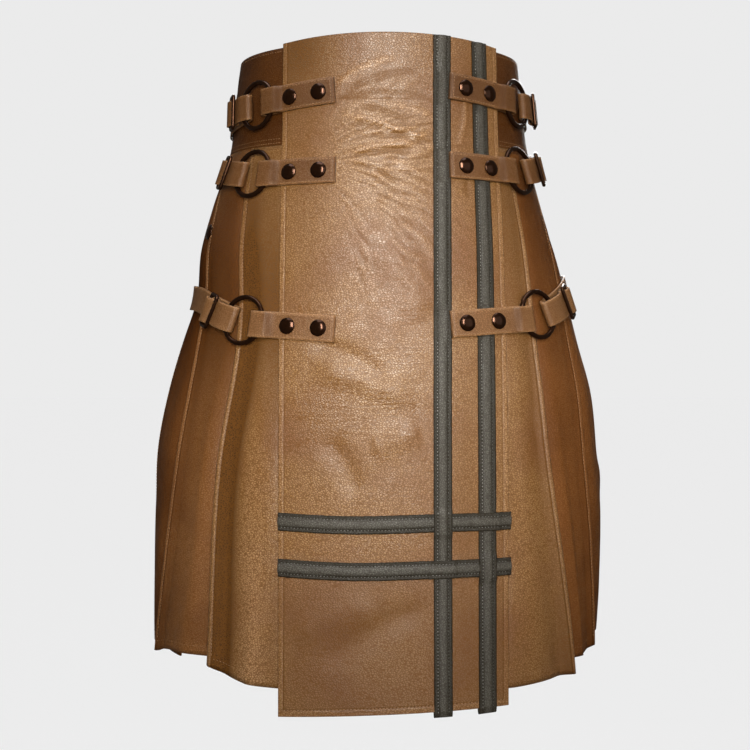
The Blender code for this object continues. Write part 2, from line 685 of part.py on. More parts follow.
def make_slider(row):
    """A rectangular wire loop with round corners: one bar over, one bar inside the strap."""
    levels = strap_levels(row)
    top = levels["back_eye"] + EYE_RADIUS
    scale = stretch(float(from_front(row.side, row.slider)), row.z_slider, top)
    height = strap_height(row)
    over = top + STRAP_WALL / 2 + REST_GAP + SLIDER_WIRE
    end_round = row.slider + SLIDER_LENGTH / scale
    bars = []
    for distance, out in ((row.slider, over), (end_round, top + 0.0003)):
        bars.append(Vector(place(float(from_front(row.side, distance)),
                                 float(height(distance)), out)))
    outward = frame_at(float(from_front(row.side, row.slider)), row.z_slider, top)[2]
    along = bars[1] - bars[0]
    length = along.length
    along.normalize()
    up = outward.cross(along).normalized()
    centre = (bars[0] + bars[1]) / 2
    points = []
    for sign_x, sign_y, start in ((1, 1, 0), (-1, 1, 90), (-1, -1, 180), (1, -1, 270)):
        for turn in (0, 45, 90):
            angle = math.radians(start + turn)
            x = sign_x * (length / 2 - SLIDER_CORNER) + SLIDER_CORNER * math.cos(angle)
            y = sign_y * (SLIDER_HEIGHT / 2 - SLIDER_CORNER) + SLIDER_CORNER * math.sin(angle)
            points.append(centre + along * x + up * y)
    name = "slider_%s_%d" % (row.side, row.row)
    curve = bpy.data.curves.new(name, "CURVE")
    curve.dimensions = "3D"
    curve.bevel_depth = SLIDER_WIRE
    curve.bevel_resolution = 1
    line = curve.splines.new("POLY")
    line.points.add(len(points) - 1)
    for spot, point in zip(line.points, points):
        spot.co = (point.x, point.y, point.z, 1.0)
    line.use_cyclic_u = True
    add_object(name, curve, "bronze")


def make_snap(name, around, height, out):
    """A domed cap on a short skirt, turned about its own axis."""
    mesh = bpy.data.meshes.new(name)
    points = [(SNAP_RADIUS * point.reach, 0.0, point.rise) for point in SNAP_OUTLINE]
    edges = [(i, i + 1) for i in range(len(points) - 1)]
    mesh.from_pydata(points, edges, [])
    centre, along, normal = frame_at(around, height, out)
    thing = add_object(name, mesh, "bronze")
    screw = thing.modifiers.new("turn", "SCREW")
    screw.axis = "Z"
    screw.steps = 12
    screw.render_steps = 12
    screw.use_merge_vertices = True
    screw.merge_threshold = 0.00005
    screw.use_normal_calculate = True
    thing.matrix_world = axes_matrix(centre, along, normal)


def make_strap_set(row):
    tab_top = make_tab(row)
    make_strap(row)
    make_ring(row)
    make_slider(row)
    height = tab_height(row)
    for number, distance in enumerate((NEAR_SNAP, row.snap), 1):
        name = "snap_%s_%d_%d" % (row.side, row.row, number)
        make_snap(name, float(from_front(row.side, distance)), float(height(distance)),
                  tab_top + GAP)


# ---- The kilt --------------------------------------------------------------

clear_scene()
KILT = bpy.data.collections.new("kilt")
bpy.context.scene.collection.children.link(KILT)

apron_columns, apron_heights = make_apron()
make_under_apron()
for side in ("left", "right"):
    make_yoke(side)
for pleat in PLEATS:
    make_pleat(pleat)
make_back_underlay()
for tape, middle in UPRIGHT_TAPES.items():
    make_upright_tape(tape, middle, apron_heights[1:-1, 0].tolist())
for tape, middle in LEVEL_TAPES.items():
    make_level_tape(tape, middle, apron_columns.tolist())
for strap in STRAPS:
    make_strap_set(strap)
side_distance, side_height = SIDE_SNAP
side_out = float(crest_out(side_height)) + GAP
make_snap("snap_side", float(from_front("left", side_distance)), side_height, side_out)
print("kilt:", len(KILT.objects), "pieces")
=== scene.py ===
from functools import partial
import math

import bpy
import numpy as np
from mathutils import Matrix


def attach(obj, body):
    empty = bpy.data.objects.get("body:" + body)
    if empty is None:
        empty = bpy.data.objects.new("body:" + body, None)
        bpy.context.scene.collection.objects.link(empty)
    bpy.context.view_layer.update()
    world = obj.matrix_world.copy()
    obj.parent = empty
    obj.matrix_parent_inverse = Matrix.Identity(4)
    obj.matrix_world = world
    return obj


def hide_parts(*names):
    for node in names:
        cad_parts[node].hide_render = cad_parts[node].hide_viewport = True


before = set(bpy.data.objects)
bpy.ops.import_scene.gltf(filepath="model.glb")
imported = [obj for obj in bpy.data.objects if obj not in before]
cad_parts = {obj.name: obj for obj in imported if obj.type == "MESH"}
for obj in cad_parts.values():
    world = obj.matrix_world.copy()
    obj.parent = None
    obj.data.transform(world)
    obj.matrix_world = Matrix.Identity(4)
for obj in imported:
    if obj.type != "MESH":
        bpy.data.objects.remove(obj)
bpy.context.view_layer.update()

# metres, front towards -Y; leather is laid out by distance round from the centre front, height
# and distance out
body = {
    "height": (0.000, -0.050, -0.090, -0.150, -0.190, -0.240,
               -0.280, -0.330, -0.390, -0.440, -0.520, -0.620),
    "left": (0.1295, 0.1365, 0.1405, 0.1595, 0.1705, 0.1755,
             0.1885, 0.2020, 0.2130, 0.2155, 0.2165, 0.2175),
    "right": (0.1320, 0.1375, 0.1425, 0.1570, 0.1690, 0.1820,
              0.1920, 0.2060, 0.2120, 0.2150, 0.2125, 0.2060),
    "front": (0.1120, 0.1155, 0.1190, 0.1277, 0.1340, 0.1405,
              0.1460, 0.1508, 0.1545, 0.1560, 0.1570, 0.1580),
    "back": (0.1180, 0.1220, 0.1270, 0.1400, 0.1500, 0.1625,
             0.1720, 0.1800, 0.1860, 0.1880, 0.1895, 0.1900),
}
cut = {
    "leather": 0.0016,
    "yokeWall": 0.0024,
    "strapWall": 0.0014,
    "tapeWall": 0.0010,
    "gap": 0.0003,
    "restGap": 0.0005,
    "frontTurn": 0.0125,     # centre front, round from -Y
    "seam": -0.0978,
    "pleatTop": -0.0980,
    "pleatHem": -0.590,
    "pleats": 6,
    "tuck": 0.0145,
}
sides = ("left", "right")
sideSign = {"left": -1.0, "right": 1.0}
everyPleat = [(side, number) for side in sides for number in range(1, cut["pleats"] + 1)]


def bell(off, wide, power=2):
    # e^-(off / wide)^power
    return np.exp(-(off / wide) ** power)


def eased(t):
    # 3t^2 - 2t^3
    return t**2 * (3 - 2 * t)


def cubic(t, start, end, startSlope, endSlope):
    # Hermite: from start at t = 0 to end at t = 1
    first = (2 * t**3 - 3 * t**2 + 1) * start + (t**3 - 2 * t**2 + t) * startSlope
    return first + (3 * t**2 - 2 * t**3) * end + (t**3 - t**2) * endSlope


def smoothCurve(at, places, values):
    # cubic through the table, slopes from its neighbours
    x = np.asarray(places, float)
    y = np.asarray(values, float)
    if x[0] > x[-1]:
        x, y = x[::-1], y[::-1]
    slope = np.gradient(y, x)
    spot = np.clip(np.asarray(at, float), x[0], x[-1])
    i = np.clip(np.searchsorted(x, spot) - 1, 0, len(x) - 2)
    step = x[i + 1] - x[i]
    return cubic((spot - x[i]) / step, y[i], y[i + 1], step * slope[i], step * slope[i + 1])


def alongKnots(knots, slope, u):
    # cubic through each row's knots, one knot to every whole number of u
    i = np.clip(u.astype(int), 0, knots.shape[1] - 2)
    return cubic((u - i)[None, :], knots[:, i], knots[:, i + 1], slope[:, i], slope[:, i + 1])


def bodySize(name, height):
    # half width or half depth of the body at this height
    return smoothCurve(height, body["height"], body[name])


def quarterRound(width, depth):
    # pi/4 (w + d)(1 + e^2/4), e = (w - d)/(w + d)
    flat = (width - depth) / (width + depth)
    return math.pi / 4 * (width + depth) * (1 + flat * flat / 4)


def sideRound(side, height):
    # length round one side: its front quarter + its back quarter
    width = bodySize(side, height)
    front = quarterRound(width, bodySize("front", height))
    return front + quarterRound(width, bodySize("back", height))


def halfRound(height):
    # half the whole length round
    return (sideRound("left", height) + sideRound("right", height)) / 2


def place(around, height, out):
    # quarter ellipses joined at front, sides and back, moved out along their normals
    around, height, out = np.broadcast_arrays(around, height, out)
    leftRound = sideRound("left", height)
    allRound = leftRound + sideRound("right", height)
    wrapped = (around + leftRound) % allRound - leftRound
    reach = np.abs(wrapped)
    front = bodySize("front", height)
    back = bodySize("back", height)
    width = np.where(wrapped < 0, bodySize("left", height), bodySize("right", height))
    toSide = quarterRound(width, front)
    toBack = quarterRound(width, back)
    inFront = reach < toSide
    depth = np.where(inFront, front, back)
    turn = np.where(inFront, reach / toSide, 1 + (reach - toSide) / toBack) * math.pi / 2
    angle = turn - (width - depth) / (width + depth) / 2 * np.sin(2 * turn)
    normalX = depth * np.sin(angle)
    normalY = -width * np.cos(angle)
    length = np.hypot(normalX, normalY)
    x = width * np.sin(angle) + out * normalX / length
    y = -depth * np.cos(angle) + out * normalY / length
    return np.stack([np.where(wrapped < 0, -x, x), y, height + 0 * x], -1)


def placeFrom(side, distance, height, out):
    # the same by distance from the centre front, towards one side
    return place(cut["frontTurn"] + sideSign[side] * np.asarray(distance, float), height, out)


def unit(vector):
    # v / |v|
    return vector / np.linalg.norm(vector, axis=-1, keepdims=True)


def surfaceRuns(side, distance, height, out):
    # how a point moves for each metre further from the centre front, and for each metre up
    small = 0.001
    along = placeFrom(side, distance + small, height, out) - placeFrom(side, distance - small, height, out)
    rise = placeFrom(side, distance, height + small, out) - placeFrom(side, distance, height - small, out)
    return along / (2 * small), rise / (2 * small)


def outwardAt(side, distance, height, out):
    # along x rise, one unit long and pointing outwards
    return sideSign[side] * unit(np.cross(*surfaceRuns(side, distance, height, out)))


def stretchAt(side, distance, height, out):
    # length on the surface per metre of distance, over 10 mm
    reach = 0.005
    ends = placeFrom(side, np.array([distance - reach, distance + reach]), height, out)
    return np.linalg.norm(ends[1] - ends[0]) / (2 * reach)


finishColumns = ("dark", "mid", "light", "pebble", "crack", "bump", "rough", "shine", "wall", "slot")
# tan is the leather in full light; the three finishes after it are darker copies of it, painted shade for
# parts turned from the light
finishTable = {
    "tan": ((0.134, 0.050, 0.012), (0.206, 0.102, 0.030), (0.360, 0.200, 0.088),
            440, 0.92, 0.30, 0.42, 0.78, "leather", "tan_leather"),
    "halfShadedTan": ((0.098, 0.034, 0.008), (0.172, 0.071, 0.019), (0.305, 0.152, 0.060),
               430, 0.66, 0.38, 0.45, 0.42, "leather", "tan_leather"),
    "shadedTan": ((0.086, 0.030, 0.006), (0.144, 0.053, 0.012), (0.260, 0.116, 0.040),
                440, 0.62, 0.36, 0.48, 0.24, "leather", "tan_leather"),
    "yokeShadedTan": ((0.032, 0.010, 0.002), (0.068, 0.023, 0.004), (0.140, 0.056, 0.015),
                440, 0.62, 0.36, 0.50, 0.20, "yokeWall", "tan_leather"),
    "strapTan": ((0.088, 0.036, 0.010), (0.120, 0.052, 0.016), (0.290, 0.150, 0.062),
                 520, 0.56, 0.36, 0.42, 0.40, "strapWall", "strap_leather"),
    "greyTape": ((0.018, 0.016, 0.011), (0.032, 0.028, 0.021), (0.150, 0.138, 0.114),
                 480, 0.60, 0.36, 0.42, 0.38, "tapeWall", "grey_leather"),
}
finishes = {name: dict(zip(finishColumns, row)) for name, row in finishTable.items()}
# a texture's own value runs each of these from dark to light
plain = {
    "antiqueBronze": {"kind": "TexNoise", "scale": 320, "dark": (0.010, 0.004, 0.002),
                      "light": (0.055, 0.021, 0.008), "metal": 0.85, "rough": 0.27},
    "capBronze": {"kind": "TexNoise", "scale": 620, "dark": (0.005, 0.002, 0.001),
                  "light": (0.048, 0.017, 0.006), "metal": 0.80, "rough": 0.17},
    "tanThread": {"kind": "TexWave", "scale": 900, "dark": (0.144, 0.075, 0.0312),
                  "light": (0.24, 0.125, 0.052), "metal": 0.0, "rough": 0.60},
    "greyThread": {"kind": "TexWave", "scale": 900, "dark": (0.15, 0.144, 0.129),
                   "light": (0.25, 0.24, 0.215), "metal": 0.0, "rough": 0.60},
}
grain = {
    "tone": {"Scale": 11.0, "Detail": 5.0},
    "toneStops": (0.32, 0.54),
    "warp": 210.0,           # bends the pebble so that its cells are uneven
    "warpReach": 0.0022,
    "cell": (1.0, 1.0, 1.4),
    "domeEdge": 0.30,        # the dome is full this far from a crack, in cells
    "fine": {"share": 4.0, "lift": 0.07},
    "drawn": {"Scale": (0.12, 0.5, 1.0), "Rotation": (0.0, math.radians(7), 0.0)},
    "wrinkles": {"Scale": 260.0, "Detail": 2.0, "Distortion": 0.5},
    "wrinkleLift": 9.0,
    "relief": 0.0006,
    "stainShadeTone": (0.17, 0.125, 0.10),      # shares of the middle tone, that stains and painted shade darken towards
    "crack": (0.50, 0.40, 0.28),
    "stainAndShade": 0.92,
    "patches": {"Scale": 75.0, "Detail": 6.0},
    "patchRange": (0.35, 0.65),
    "roughRange": (-0.05, 0.12),
    "stainShadeRough": 0.35,
    "crackShine": 0.45,
}


def feed(node, inputs):
    # an input that is given another node's output is linked to it, any other is set
    for key, value in inputs.items():
        if isinstance(value, bpy.types.NodeSocket):
            node.id_data.links.new(value, node.inputs[key])
        else:
            node.inputs[key].default_value = value


def addNode(tree, kind, output, inputs=None, **settings):
    # a new node with these settings and inputs; gives back its output of this name
    node = tree.nodes.new("ShaderNode" + kind)
    for key, value in settings.items():
        setattr(node, key, value)
    feed(node, inputs or {})
    return node.outputs[output]


def addRamp(tree, amount, places, tones):
    # a colour ramp with each tone at its place
    colour = addNode(tree, "ValToRGB", "Color", {"Fac": amount})
    for element, position, tone in zip(colour.node.color_ramp.elements, places, tones):
        element.position = position
        element.color = (*tone, 1.0)
    return colour


def darkened(tone, parts):
    # each part of the tone x its own share
    return (*[c * k for c, k in zip(tone, parts)], 1.0)


def newMaterial(name):
    material = bpy.data.materials.new(name)
    material.use_nodes = True
    return material, material.node_tree, material.node_tree.nodes["Principled BSDF"]


def leatherFinish(name, look):
    # colour = dark to mid by slow noise, to light where the wear mark is positive (wear and painted
    # highlights), darker where it is negative (painted shade, dark seams and edges) and in the cracks between
    # pebbles; height = pebble domes + fine noise + long wrinkles x crinkle; shine = the finish's own x the
    # dome, less under stains and painted shade; rough = its own by patches + stain and painted shade
    material, tree, shader = newMaterial(name)
    add = partial(addNode, tree)
    timesPlus = partial(add, "Math", "Value", operation="MULTIPLY_ADD")
    times = partial(add, "Math", "Value", operation="MULTIPLY")
    mix = partial(add, "Mix", "Result", data_type="RGBA")
    ranged = partial(add, "MapRange", "Result")
    noise = partial(add, "TexNoise", "Fac")
    where = add("TexCoord", "Object")
    wearAndPaintedLight = add("Attribute", "Fac", attribute_name="wearAndPaintedLight")
    crinkle = add("Attribute", "Fac", attribute_name="crinkle")
    stainAndShade = ranged({"Value": wearAndPaintedLight, "From Max": -1.0, "To Max": grain["stainAndShade"]})

    bend = add("TexNoise", "Color", {"Vector": where, "Scale": grain["warp"]})
    shift = add("VectorMath", "Vector", {0: bend, 1: (grain["warpReach"],) * 3, 2: where},
                operation="MULTIPLY_ADD")
    stretch = add("Mapping", "Vector", {"Vector": shift, "Scale": grain["cell"]})
    pebble = add("TexVoronoi", "Distance", {"Vector": stretch, "Scale": look["pebble"]},
                 feature="DISTANCE_TO_EDGE")
    dome = ranged({"Value": pebble, "From Max": grain["domeEdge"]}, interpolation_type="SMOOTHSTEP")
    fine = noise({"Vector": where, "Scale": look["pebble"] * grain["fine"]["share"], "Detail": 1.0})
    height = timesPlus({0: fine, 1: grain["fine"]["lift"], 2: dome})
    drawn = add("Mapping", "Vector", {"Vector": where, **grain["drawn"]})
    creased = times({0: noise({"Vector": drawn, **grain["wrinkles"]}), 1: crinkle})
    relief = timesPlus({0: creased, 1: grain["wrinkleLift"], 2: height})
    bump = add("Bump", "Normal", {"Height": relief, "Strength": look["bump"], "Distance": grain["relief"]})

    tone = addRamp(tree, noise({"Vector": where, **grain["tone"]}), grain["toneStops"],
                   (look["dark"], look["mid"]))
    # wear and painted highlights: towards the light tone where the wear mark is positive
    lighter = mix({"Factor": ranged({"Value": wearAndPaintedLight}), "A": tone, "B": (*look["light"], 1.0)})
    # stains and painted shade: towards the dark tone where the wear mark is negative
    darker = mix({"Factor": stainAndShade, "A": lighter, "B": darkened(look["mid"], grain["stainShadeTone"])})
    depth = ranged({"Value": dome, "To Min": 1.0 - look["crack"]})
    cracked = mix({"Factor": depth, "A": darkened(look["mid"], grain["crack"]), "B": darker})

    low, high = grain["patchRange"]
    less, more = grain["roughRange"]
    gloss = ranged({"Value": noise({"Vector": where, **grain["patches"]}), "From Min": low, "From Max": high,
                    "To Min": look["rough"] + less, "To Max": look["rough"] + more})
    rough = timesPlus({0: stainAndShade, 1: grain["stainShadeRough"], 2: gloss})
    quiet = timesPlus({0: stainAndShade, 1: -look["shine"], 2: look["shine"]})
    glint = times({0: quiet, 1: ranged({"Value": dome, "To Min": grain["crackShine"]})})
    feed(shader, {"Base Color": cracked, "Roughness": rough, "Specular IOR Level": glint, "Normal": bump})
    return material


def plainFinish(name, look):
    # colour = dark to light by one texture's value
    material, tree, shader = newMaterial(name)
    where = addNode(tree, "TexCoord", "Object")
    amount = addNode(tree, look["kind"], "Fac", {"Vector": where, "Scale": look["scale"]})
    colour = addRamp(tree, amount, (0.0, 1.0), (look["dark"], look["light"]))
    feed(shader, {"Base Color": colour, "Metallic": look["metal"], "Roughness": look["rough"]})
    return material


paint = {name: leatherFinish(name, look) for name, look in finishes.items()}
paint.update({name: plainFinish(name, look) for name, look in plain.items()})
print("finishes:", len(paint))


def putInScene(name, data):
    thing = bpy.data.objects.new(name, data)
    bpy.context.scene.collection.objects.link(thing)
    return thing


def addMesh(name, points, faces, finish, nodes, marks=None):
    # a smooth mesh with its marks and finish, on the body, in place of its nodes
    mesh = bpy.data.meshes.new(name)
    corners = faces.tolist() if isinstance(faces, np.ndarray) else faces
    mesh.from_pydata(np.asarray(points).reshape(-1, 3).tolist(), [], corners)
    mesh.polygons.foreach_set("use_smooth", np.ones(len(mesh.polygons), bool))
    for mark, values in (marks or {}).items():
        layer = mesh.attributes.new(mark, "FLOAT", "POINT")
        layer.data.foreach_set("value", np.asarray(values, np.float32).ravel())
    mesh.materials.append(paint[finish])
    mesh.update()
    piece = putInScene(name, mesh)
    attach(piece, "root")
    if nodes:
        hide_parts(*nodes)
    return piece


def gridFaces(rows, columns, closedRound=False, closedAlong=False):
    # each cell of the grid is one face; a closed way joins its last line to its first
    index = np.arange(rows * columns).reshape(rows, columns)
    if closedAlong:
        index = np.vstack([index, index[:1]])
    if closedRound:
        index = np.hstack([index, index[:, :1]])
    corners = (index[:-1, :-1], index[1:, :-1], index[1:, 1:], index[:-1, 1:])
    return np.stack(corners, -1).reshape(-1, 4)


def uneven(stretches):
    # one run of numbers, each stretch cut into its own count of equal steps
    parts = [np.linspace(start, end, steps, endpoint=False) for start, end, steps in stretches]
    return np.concatenate(parts + [[stretches[-1][1]]])


def leatherSheet(name, side, laid, finish, node, marks=None):
    # laid is the grid's distance from the centre front, height and distance out
    look = finishes[finish]
    points = placeFrom(side, *laid)
    piece = addMesh(name, points, gridFaces(*points.shape[:2]), finish, [node], marks)
    solid = piece.modifiers.new("wall", "SOLIDIFY")
    solid.thickness = cut[look["wall"]]
    solid.offset = 0.0
    solid.use_even_offset = True


# soft ridges (+) and troughs (-), in mm: from and to, each by distance from centre front and
# height, then width and depth
waistCreases = [
    (-52, -60, 36, -58, 2, -0.7), (-50, -48, 4, -22, 3, 0.8), (-44, -54, 26, -34, 3, -0.7),
    (-41, -110, 26, -102, 1.9, 1.5), (-40, -113, 18, -108, 1.9, -1), (-44, -74, 12, -92, 2.2, 0.9),
    (-40, -82, 22, -99, 2.2, -0.9), (-30, -66, 16, -82, 2.4, -0.7), (-22, -86, 32, -95, 2.2, 0.8),
    (-8, -66, 36, -76, 2.4, 0.6), (-38, -112, -8, -132, 2.2, 0.8), (-36, -116, 6, -138, 2.2, -0.8),
    (-20, -116, 28, -126, 2.4, 0.6), (66, -52, 60, -100, 2.2, 0.7), (60, -110, 68, -150, 2.2, -0.6),
]
apronCreases = [
    (-74, -276, -4, -312, 9, -2.6), (-70, -300, 20, -332, 11, 2.5), (-60, -360, -30, -412, 11, -2.2),
    (-20, -372, 26, -356, 12, 2), (-60, -566, 34, -508, 12, -2.2), (-86, -540, -12, -508, 14, 1.8),
    (-8, -190, 24, -260, 18, 2.4),
]
# the same on the parts that face the sides and back
yokeCreases = {
    "left": [
        (148, -20, 201, -41, 3.6, -0.7), (168, -76, 252, -60, 4.8, 0.6), (263, -18, 318, -52, 4, -0.8),
        (301, -82, 382, -70, 3.4, 0.7), (352, -30, 405, -44, 5.2, -0.6),
    ],
    "right": [
        (158, -31, 232, -22, 4.2, -0.7), (181, -83, 224, -66, 3.2, 0.6), (246, -44, 330, -69, 4.6, -0.8),
        (322, -22, 371, -39, 3.6, 0.6), (360, -78, 412, -64, 4.4, -0.6),
    ],
}
pleatCreases = {
    "left": [
        (108, -176, 136, -214, 5, -1), (206, -296, 252, -346, 8.5, -1.6), (266, -158, 300, -196, 4.8, 0.9),
        (300, -372, 352, -412, 11, 1.8), (345, -186, 372, -268, 7, -1.3), (420, -330, 462, -300, 9, -1.7),
        (452, -456, 500, -512, 12, 1.6), (502, -232, 540, -284, 8, -1.4), (398, -520, 432, -470, 10, -1.5),
    ],
    "right": [
        (112, -330, 150, -382, 9, -1.4), (196, -170, 226, -222, 5.4, -0.9), (240, -402, 294, -448, 11, 1.6),
        (298, -286, 341, -330, 7.5, -1.5), (372, -150, 404, -202, 6, 1), (380, -420, 428, -388, 10.5, -1.8),
        (440, -248, 476, -322, 8.5, -1.3), (486, -498, 530, -452, 12, 1.5), (520, -340, 552, -392, 9.5, -1.6),
    ],
}
# fine wrinkles that spread like a fan across the waist, from a point left of it
fan = {
    "at": (-0.082, -0.112),
    "spokes": (46, 83, 121),
    "lift": (0.00070, 0.00062, 0.00046),
    "spots": ((0.000, -0.103, 0.046, 0.040, 1.0), (0.006, -0.185, 0.052, 0.052, 0.35)),
}


def ovals(table, distance, height):
    # sum of soft ovals: across, down, half width, half height, how much
    total = 0 * distance
    for across, down, wide, tall, much in table:
        total = total + much * bell(distance - across, wide) * bell(height - down, tall)
    return total


def fanLift(distance, height):
    # three sets of spokes, each a wave round the fan's point, bent and broken up along its reach
    across = distance - fan["at"][0]
    up = height - fan["at"][1]
    turn = np.arctan2(up, across)
    reach = np.hypot(across, up)
    total = 0 * reach
    for k, (spokes, lift) in enumerate(zip(fan["spokes"], fan["lift"])):
        bent = turn * spokes + 1.9 * np.sin(reach * (88 + 21 * k) + k) + 1.1 * np.sin(turn * 9 + reach * 37)
        broken = 0.5 + 0.5 * np.sin(turn * (11 + 4 * k) + reach * (61 + 17 * k) + 2.3 * k)
        total = total + lift * np.sin(bent) * broken
    return total * ovals(fan["spots"], distance, height)


def creaseLift(table, distance, height):
    # each crease: depth x bell across its bowed line x rounded fade at both ends
    lift = np.zeros(np.broadcast(distance, height).shape)
    for startX, startZ, endX, endZ, wide, deep in np.array(table) * 0.001:
        length = float(np.hypot(endX - startX, endZ - startZ))
        alongX = (endX - startX) / length
        alongZ = (endZ - startZ) / length
        run = ((distance - startX) * alongX + (height - startZ) * alongZ) / length
        off = (distance - startX) * alongZ - (height - startZ) * alongX
        off = off + 0.06 * length * np.sin(math.pi * np.clip(run, 0, 1))
        fade = np.clip(np.minimum(run, 1 - run) * 4 + 0.15, 0, 1)
        lift = lift + deep * bell(off, wide) * eased(fade)
    return lift


apron = {
    "left": 0.1005,
    "right": 0.1032,
    "outHeights": (0.000, -0.100, -0.190, -0.280, -0.380, -0.620),
    "outs": (0.0069, 0.0069, 0.0078, 0.0088, 0.0105, 0.0135),
    "across": uneven(((-1, -0.92, 14), (-0.92, 0.92, 121), (0.92, 1, 14))),
    "down": uneven(((0, 0.27, 112), (0.27, 0.982, 172), (0.982, 1, 16))),
    "topDip": 0.0050,        # the top falls this far by its corners
    "hem": -0.6045,
    "hemTilt": 0.0032,
    "edgeBand": 0.0046,      # turned and stitched edge
    "bandEase": 0.00035,
    "edgeLift": 0.0004,
    "groove": (0.0006, 0.0003),      # beside the turned edge: half width and depth
    "fineCreases": 1.15,
    "topSeam": {"from": -0.050, "to": 0.036, "fade": 0.01, "height": -0.0595, "wide": 0.0012},
    "paintedLight": (0.85, 0.0010),        # how much, at this lift: ridges are lighter by a painted highlight, troughs darker by painted shade
    "bandWear": 0.34,
    # painted shade in the groove beside the edge band
    "grooveShade": 0.90,
    "seamWear": 0.40,
    "lowShade": (0.34, -0.455, 0.060),       # painted shade, darker below the tapes: how much, from, reach
    "leastCrinkle": 0.10,
    # fine wrinkles: a fan under the waist, weaker below it and between the upright tapes
    "crinkled": ((-0.002, -0.105, 0.046, 0.046, 0.95), (0.004, -0.225, 0.060, 0.085, 0.45),
                 (0.064, -0.085, 0.012, 0.075, 0.70), (-0.030, -0.330, 0.060, 0.050, 0.35),
                 (0.000, -0.030, 0.070, 0.030, 0.40)),
    # painted shade: soft ovals, darker where shade falls on the apron and where the light falls off
    "darker": ((-0.084, -0.012, 0.036, 0.056, 0.80), (0.064, -0.400, 0.013, 0.110, 0.28),
               (-0.078, -0.170, 0.024, 0.075, 0.26), (0.070, -0.070, 0.016, 0.070, 0.30),
               (0.036, -0.108, 0.018, 0.030, 0.12), (-0.060, -0.395, 0.030, 0.040, 0.10),
               (-0.030, -0.520, 0.050, 0.030, 0.10)),
}


underApron = {
    "past": 0.0002,          # it starts just past the edge of the first left pleat
    "end": 0.1080,
    "top": -0.010,
    "hem": -0.570,
    "out": 0.0010,
}


def apronOut(height):
    # how far out the flat apron lies, cubic by height
    return smoothCurve(height, apron["outHeights"], apron["outs"])


def apronTop(distance):
    # parabola: dip x (distance / half width)^2
    return -apron["topDip"] * (distance / apron["left"]) ** 2


def apronHem(distance):
    # level + tilt x (x - x^2), x = distance / half width
    across = distance / apron["left"]
    return apron["hem"] + apron["hemTilt"] * (across - across**2)


def fineLift(distance, height):
    # small creases at the waist + the fan
    return apron["fineCreases"] * creaseLift(waistCreases, distance, height) + fanLift(distance, height)


def apronLift(distance, height):
    # large creases + fine ones
    return creaseLift(apronCreases, distance, height) + fineLift(distance, height)


def belowBy(height, start, reach):
    # 0 above the start height, 1 a reach below it
    return np.clip((start - height) / reach, 0, 1)


def makeApron():
    # a panel from top to hem, raised by its creases and by an edge band, 1 / (1 + e^(inside / ease)),
    # with a groove beside it
    u = apron["across"][None, :]
    v = apron["down"][:, None]
    distance = np.where(u < 0, u * apron["left"], u * apron["right"]) + 0 * v
    top = apronTop(distance)
    height = top + (apronHem(distance) - top) * v
    toEdge = np.minimum(distance + apron["left"], apron["right"] - distance)
    toHem = height - apronHem(distance)
    inside = np.minimum(toEdge, toHem * 0.8) - apron["edgeBand"]
    band = 1 / (1 + np.exp(inside / apron["bandEase"]))
    grooveWide, grooveDeep = apron["groove"]
    groove = bell(inside, grooveWide)
    lift = apronLift(distance, height) + apron["edgeLift"] * band - grooveDeep * groove
    seam = apron["topSeam"]
    inSeam = np.clip(np.minimum(distance - seam["from"], seam["to"] - distance) / seam["fade"], 0, 1)
    line = inSeam * bell(height - seam["height"], seam["wide"])
    # painted highlight on the fine creases' ridges, painted shade in their troughs
    much, fully = apron["paintedLight"]
    wearAndPaintedLight = much * np.clip(fineLift(distance, height) / fully, -0.35, 1) * (1 - band)
    # lighter on the edge band, painted shade in the groove beside it, darker along the top seam
    wearAndPaintedLight = wearAndPaintedLight + apron["bandWear"] * band - apron["grooveShade"] * groove - apron["seamWear"] * line
    # painted shade: darker below the tapes and in soft ovals
    much, start, reach = apron["lowShade"]
    wearAndPaintedLight = wearAndPaintedLight - much * belowBy(height, start, reach) - ovals(apron["darker"], distance, height)
    crinkle = np.clip(apron["leastCrinkle"] + ovals(apron["crinkled"], distance, height), 0, 1)
    leatherSheet("apronPanel", "right", (distance, height, apronOut(height) + lift), "tan", "apron",
                 {"wearAndPaintedLight": wearAndPaintedLight, "crinkle": crinkle})


def makeUnderApron():
    # a plain panel with level top and hem
    start = cut["tuck"] - apron["left"] + underApron["past"]
    distance = np.linspace(start, underApron["end"], 40)[None, :]
    height = np.linspace(underApron["top"], underApron["hem"], 70)[:, None]
    # in a shaded copy of tan: painted shade
    leatherSheet("underApronPanel", "right", (distance, height, underApron["out"]), "shadedTan", "under_apron")


makeApron()
makeUnderApron()
print("aprons made")


yoke = {
    "top": -0.0080,
    "out": 0.0044,
    "columns": 120,
    "rows": 28,
    "ripple": 0.00035,
    "waves": (160, 90, 210, 1.3),
    "meet": 0.00004,         # the two halves meet at the centre back with no daylight between them
    "seamWear": (0.35, 0.0030),
    "endWear": 0.8,
}


def sideEdge(side):
    # where the side parts start to show, beside the apron's edge
    return apron[side] + 0.0005


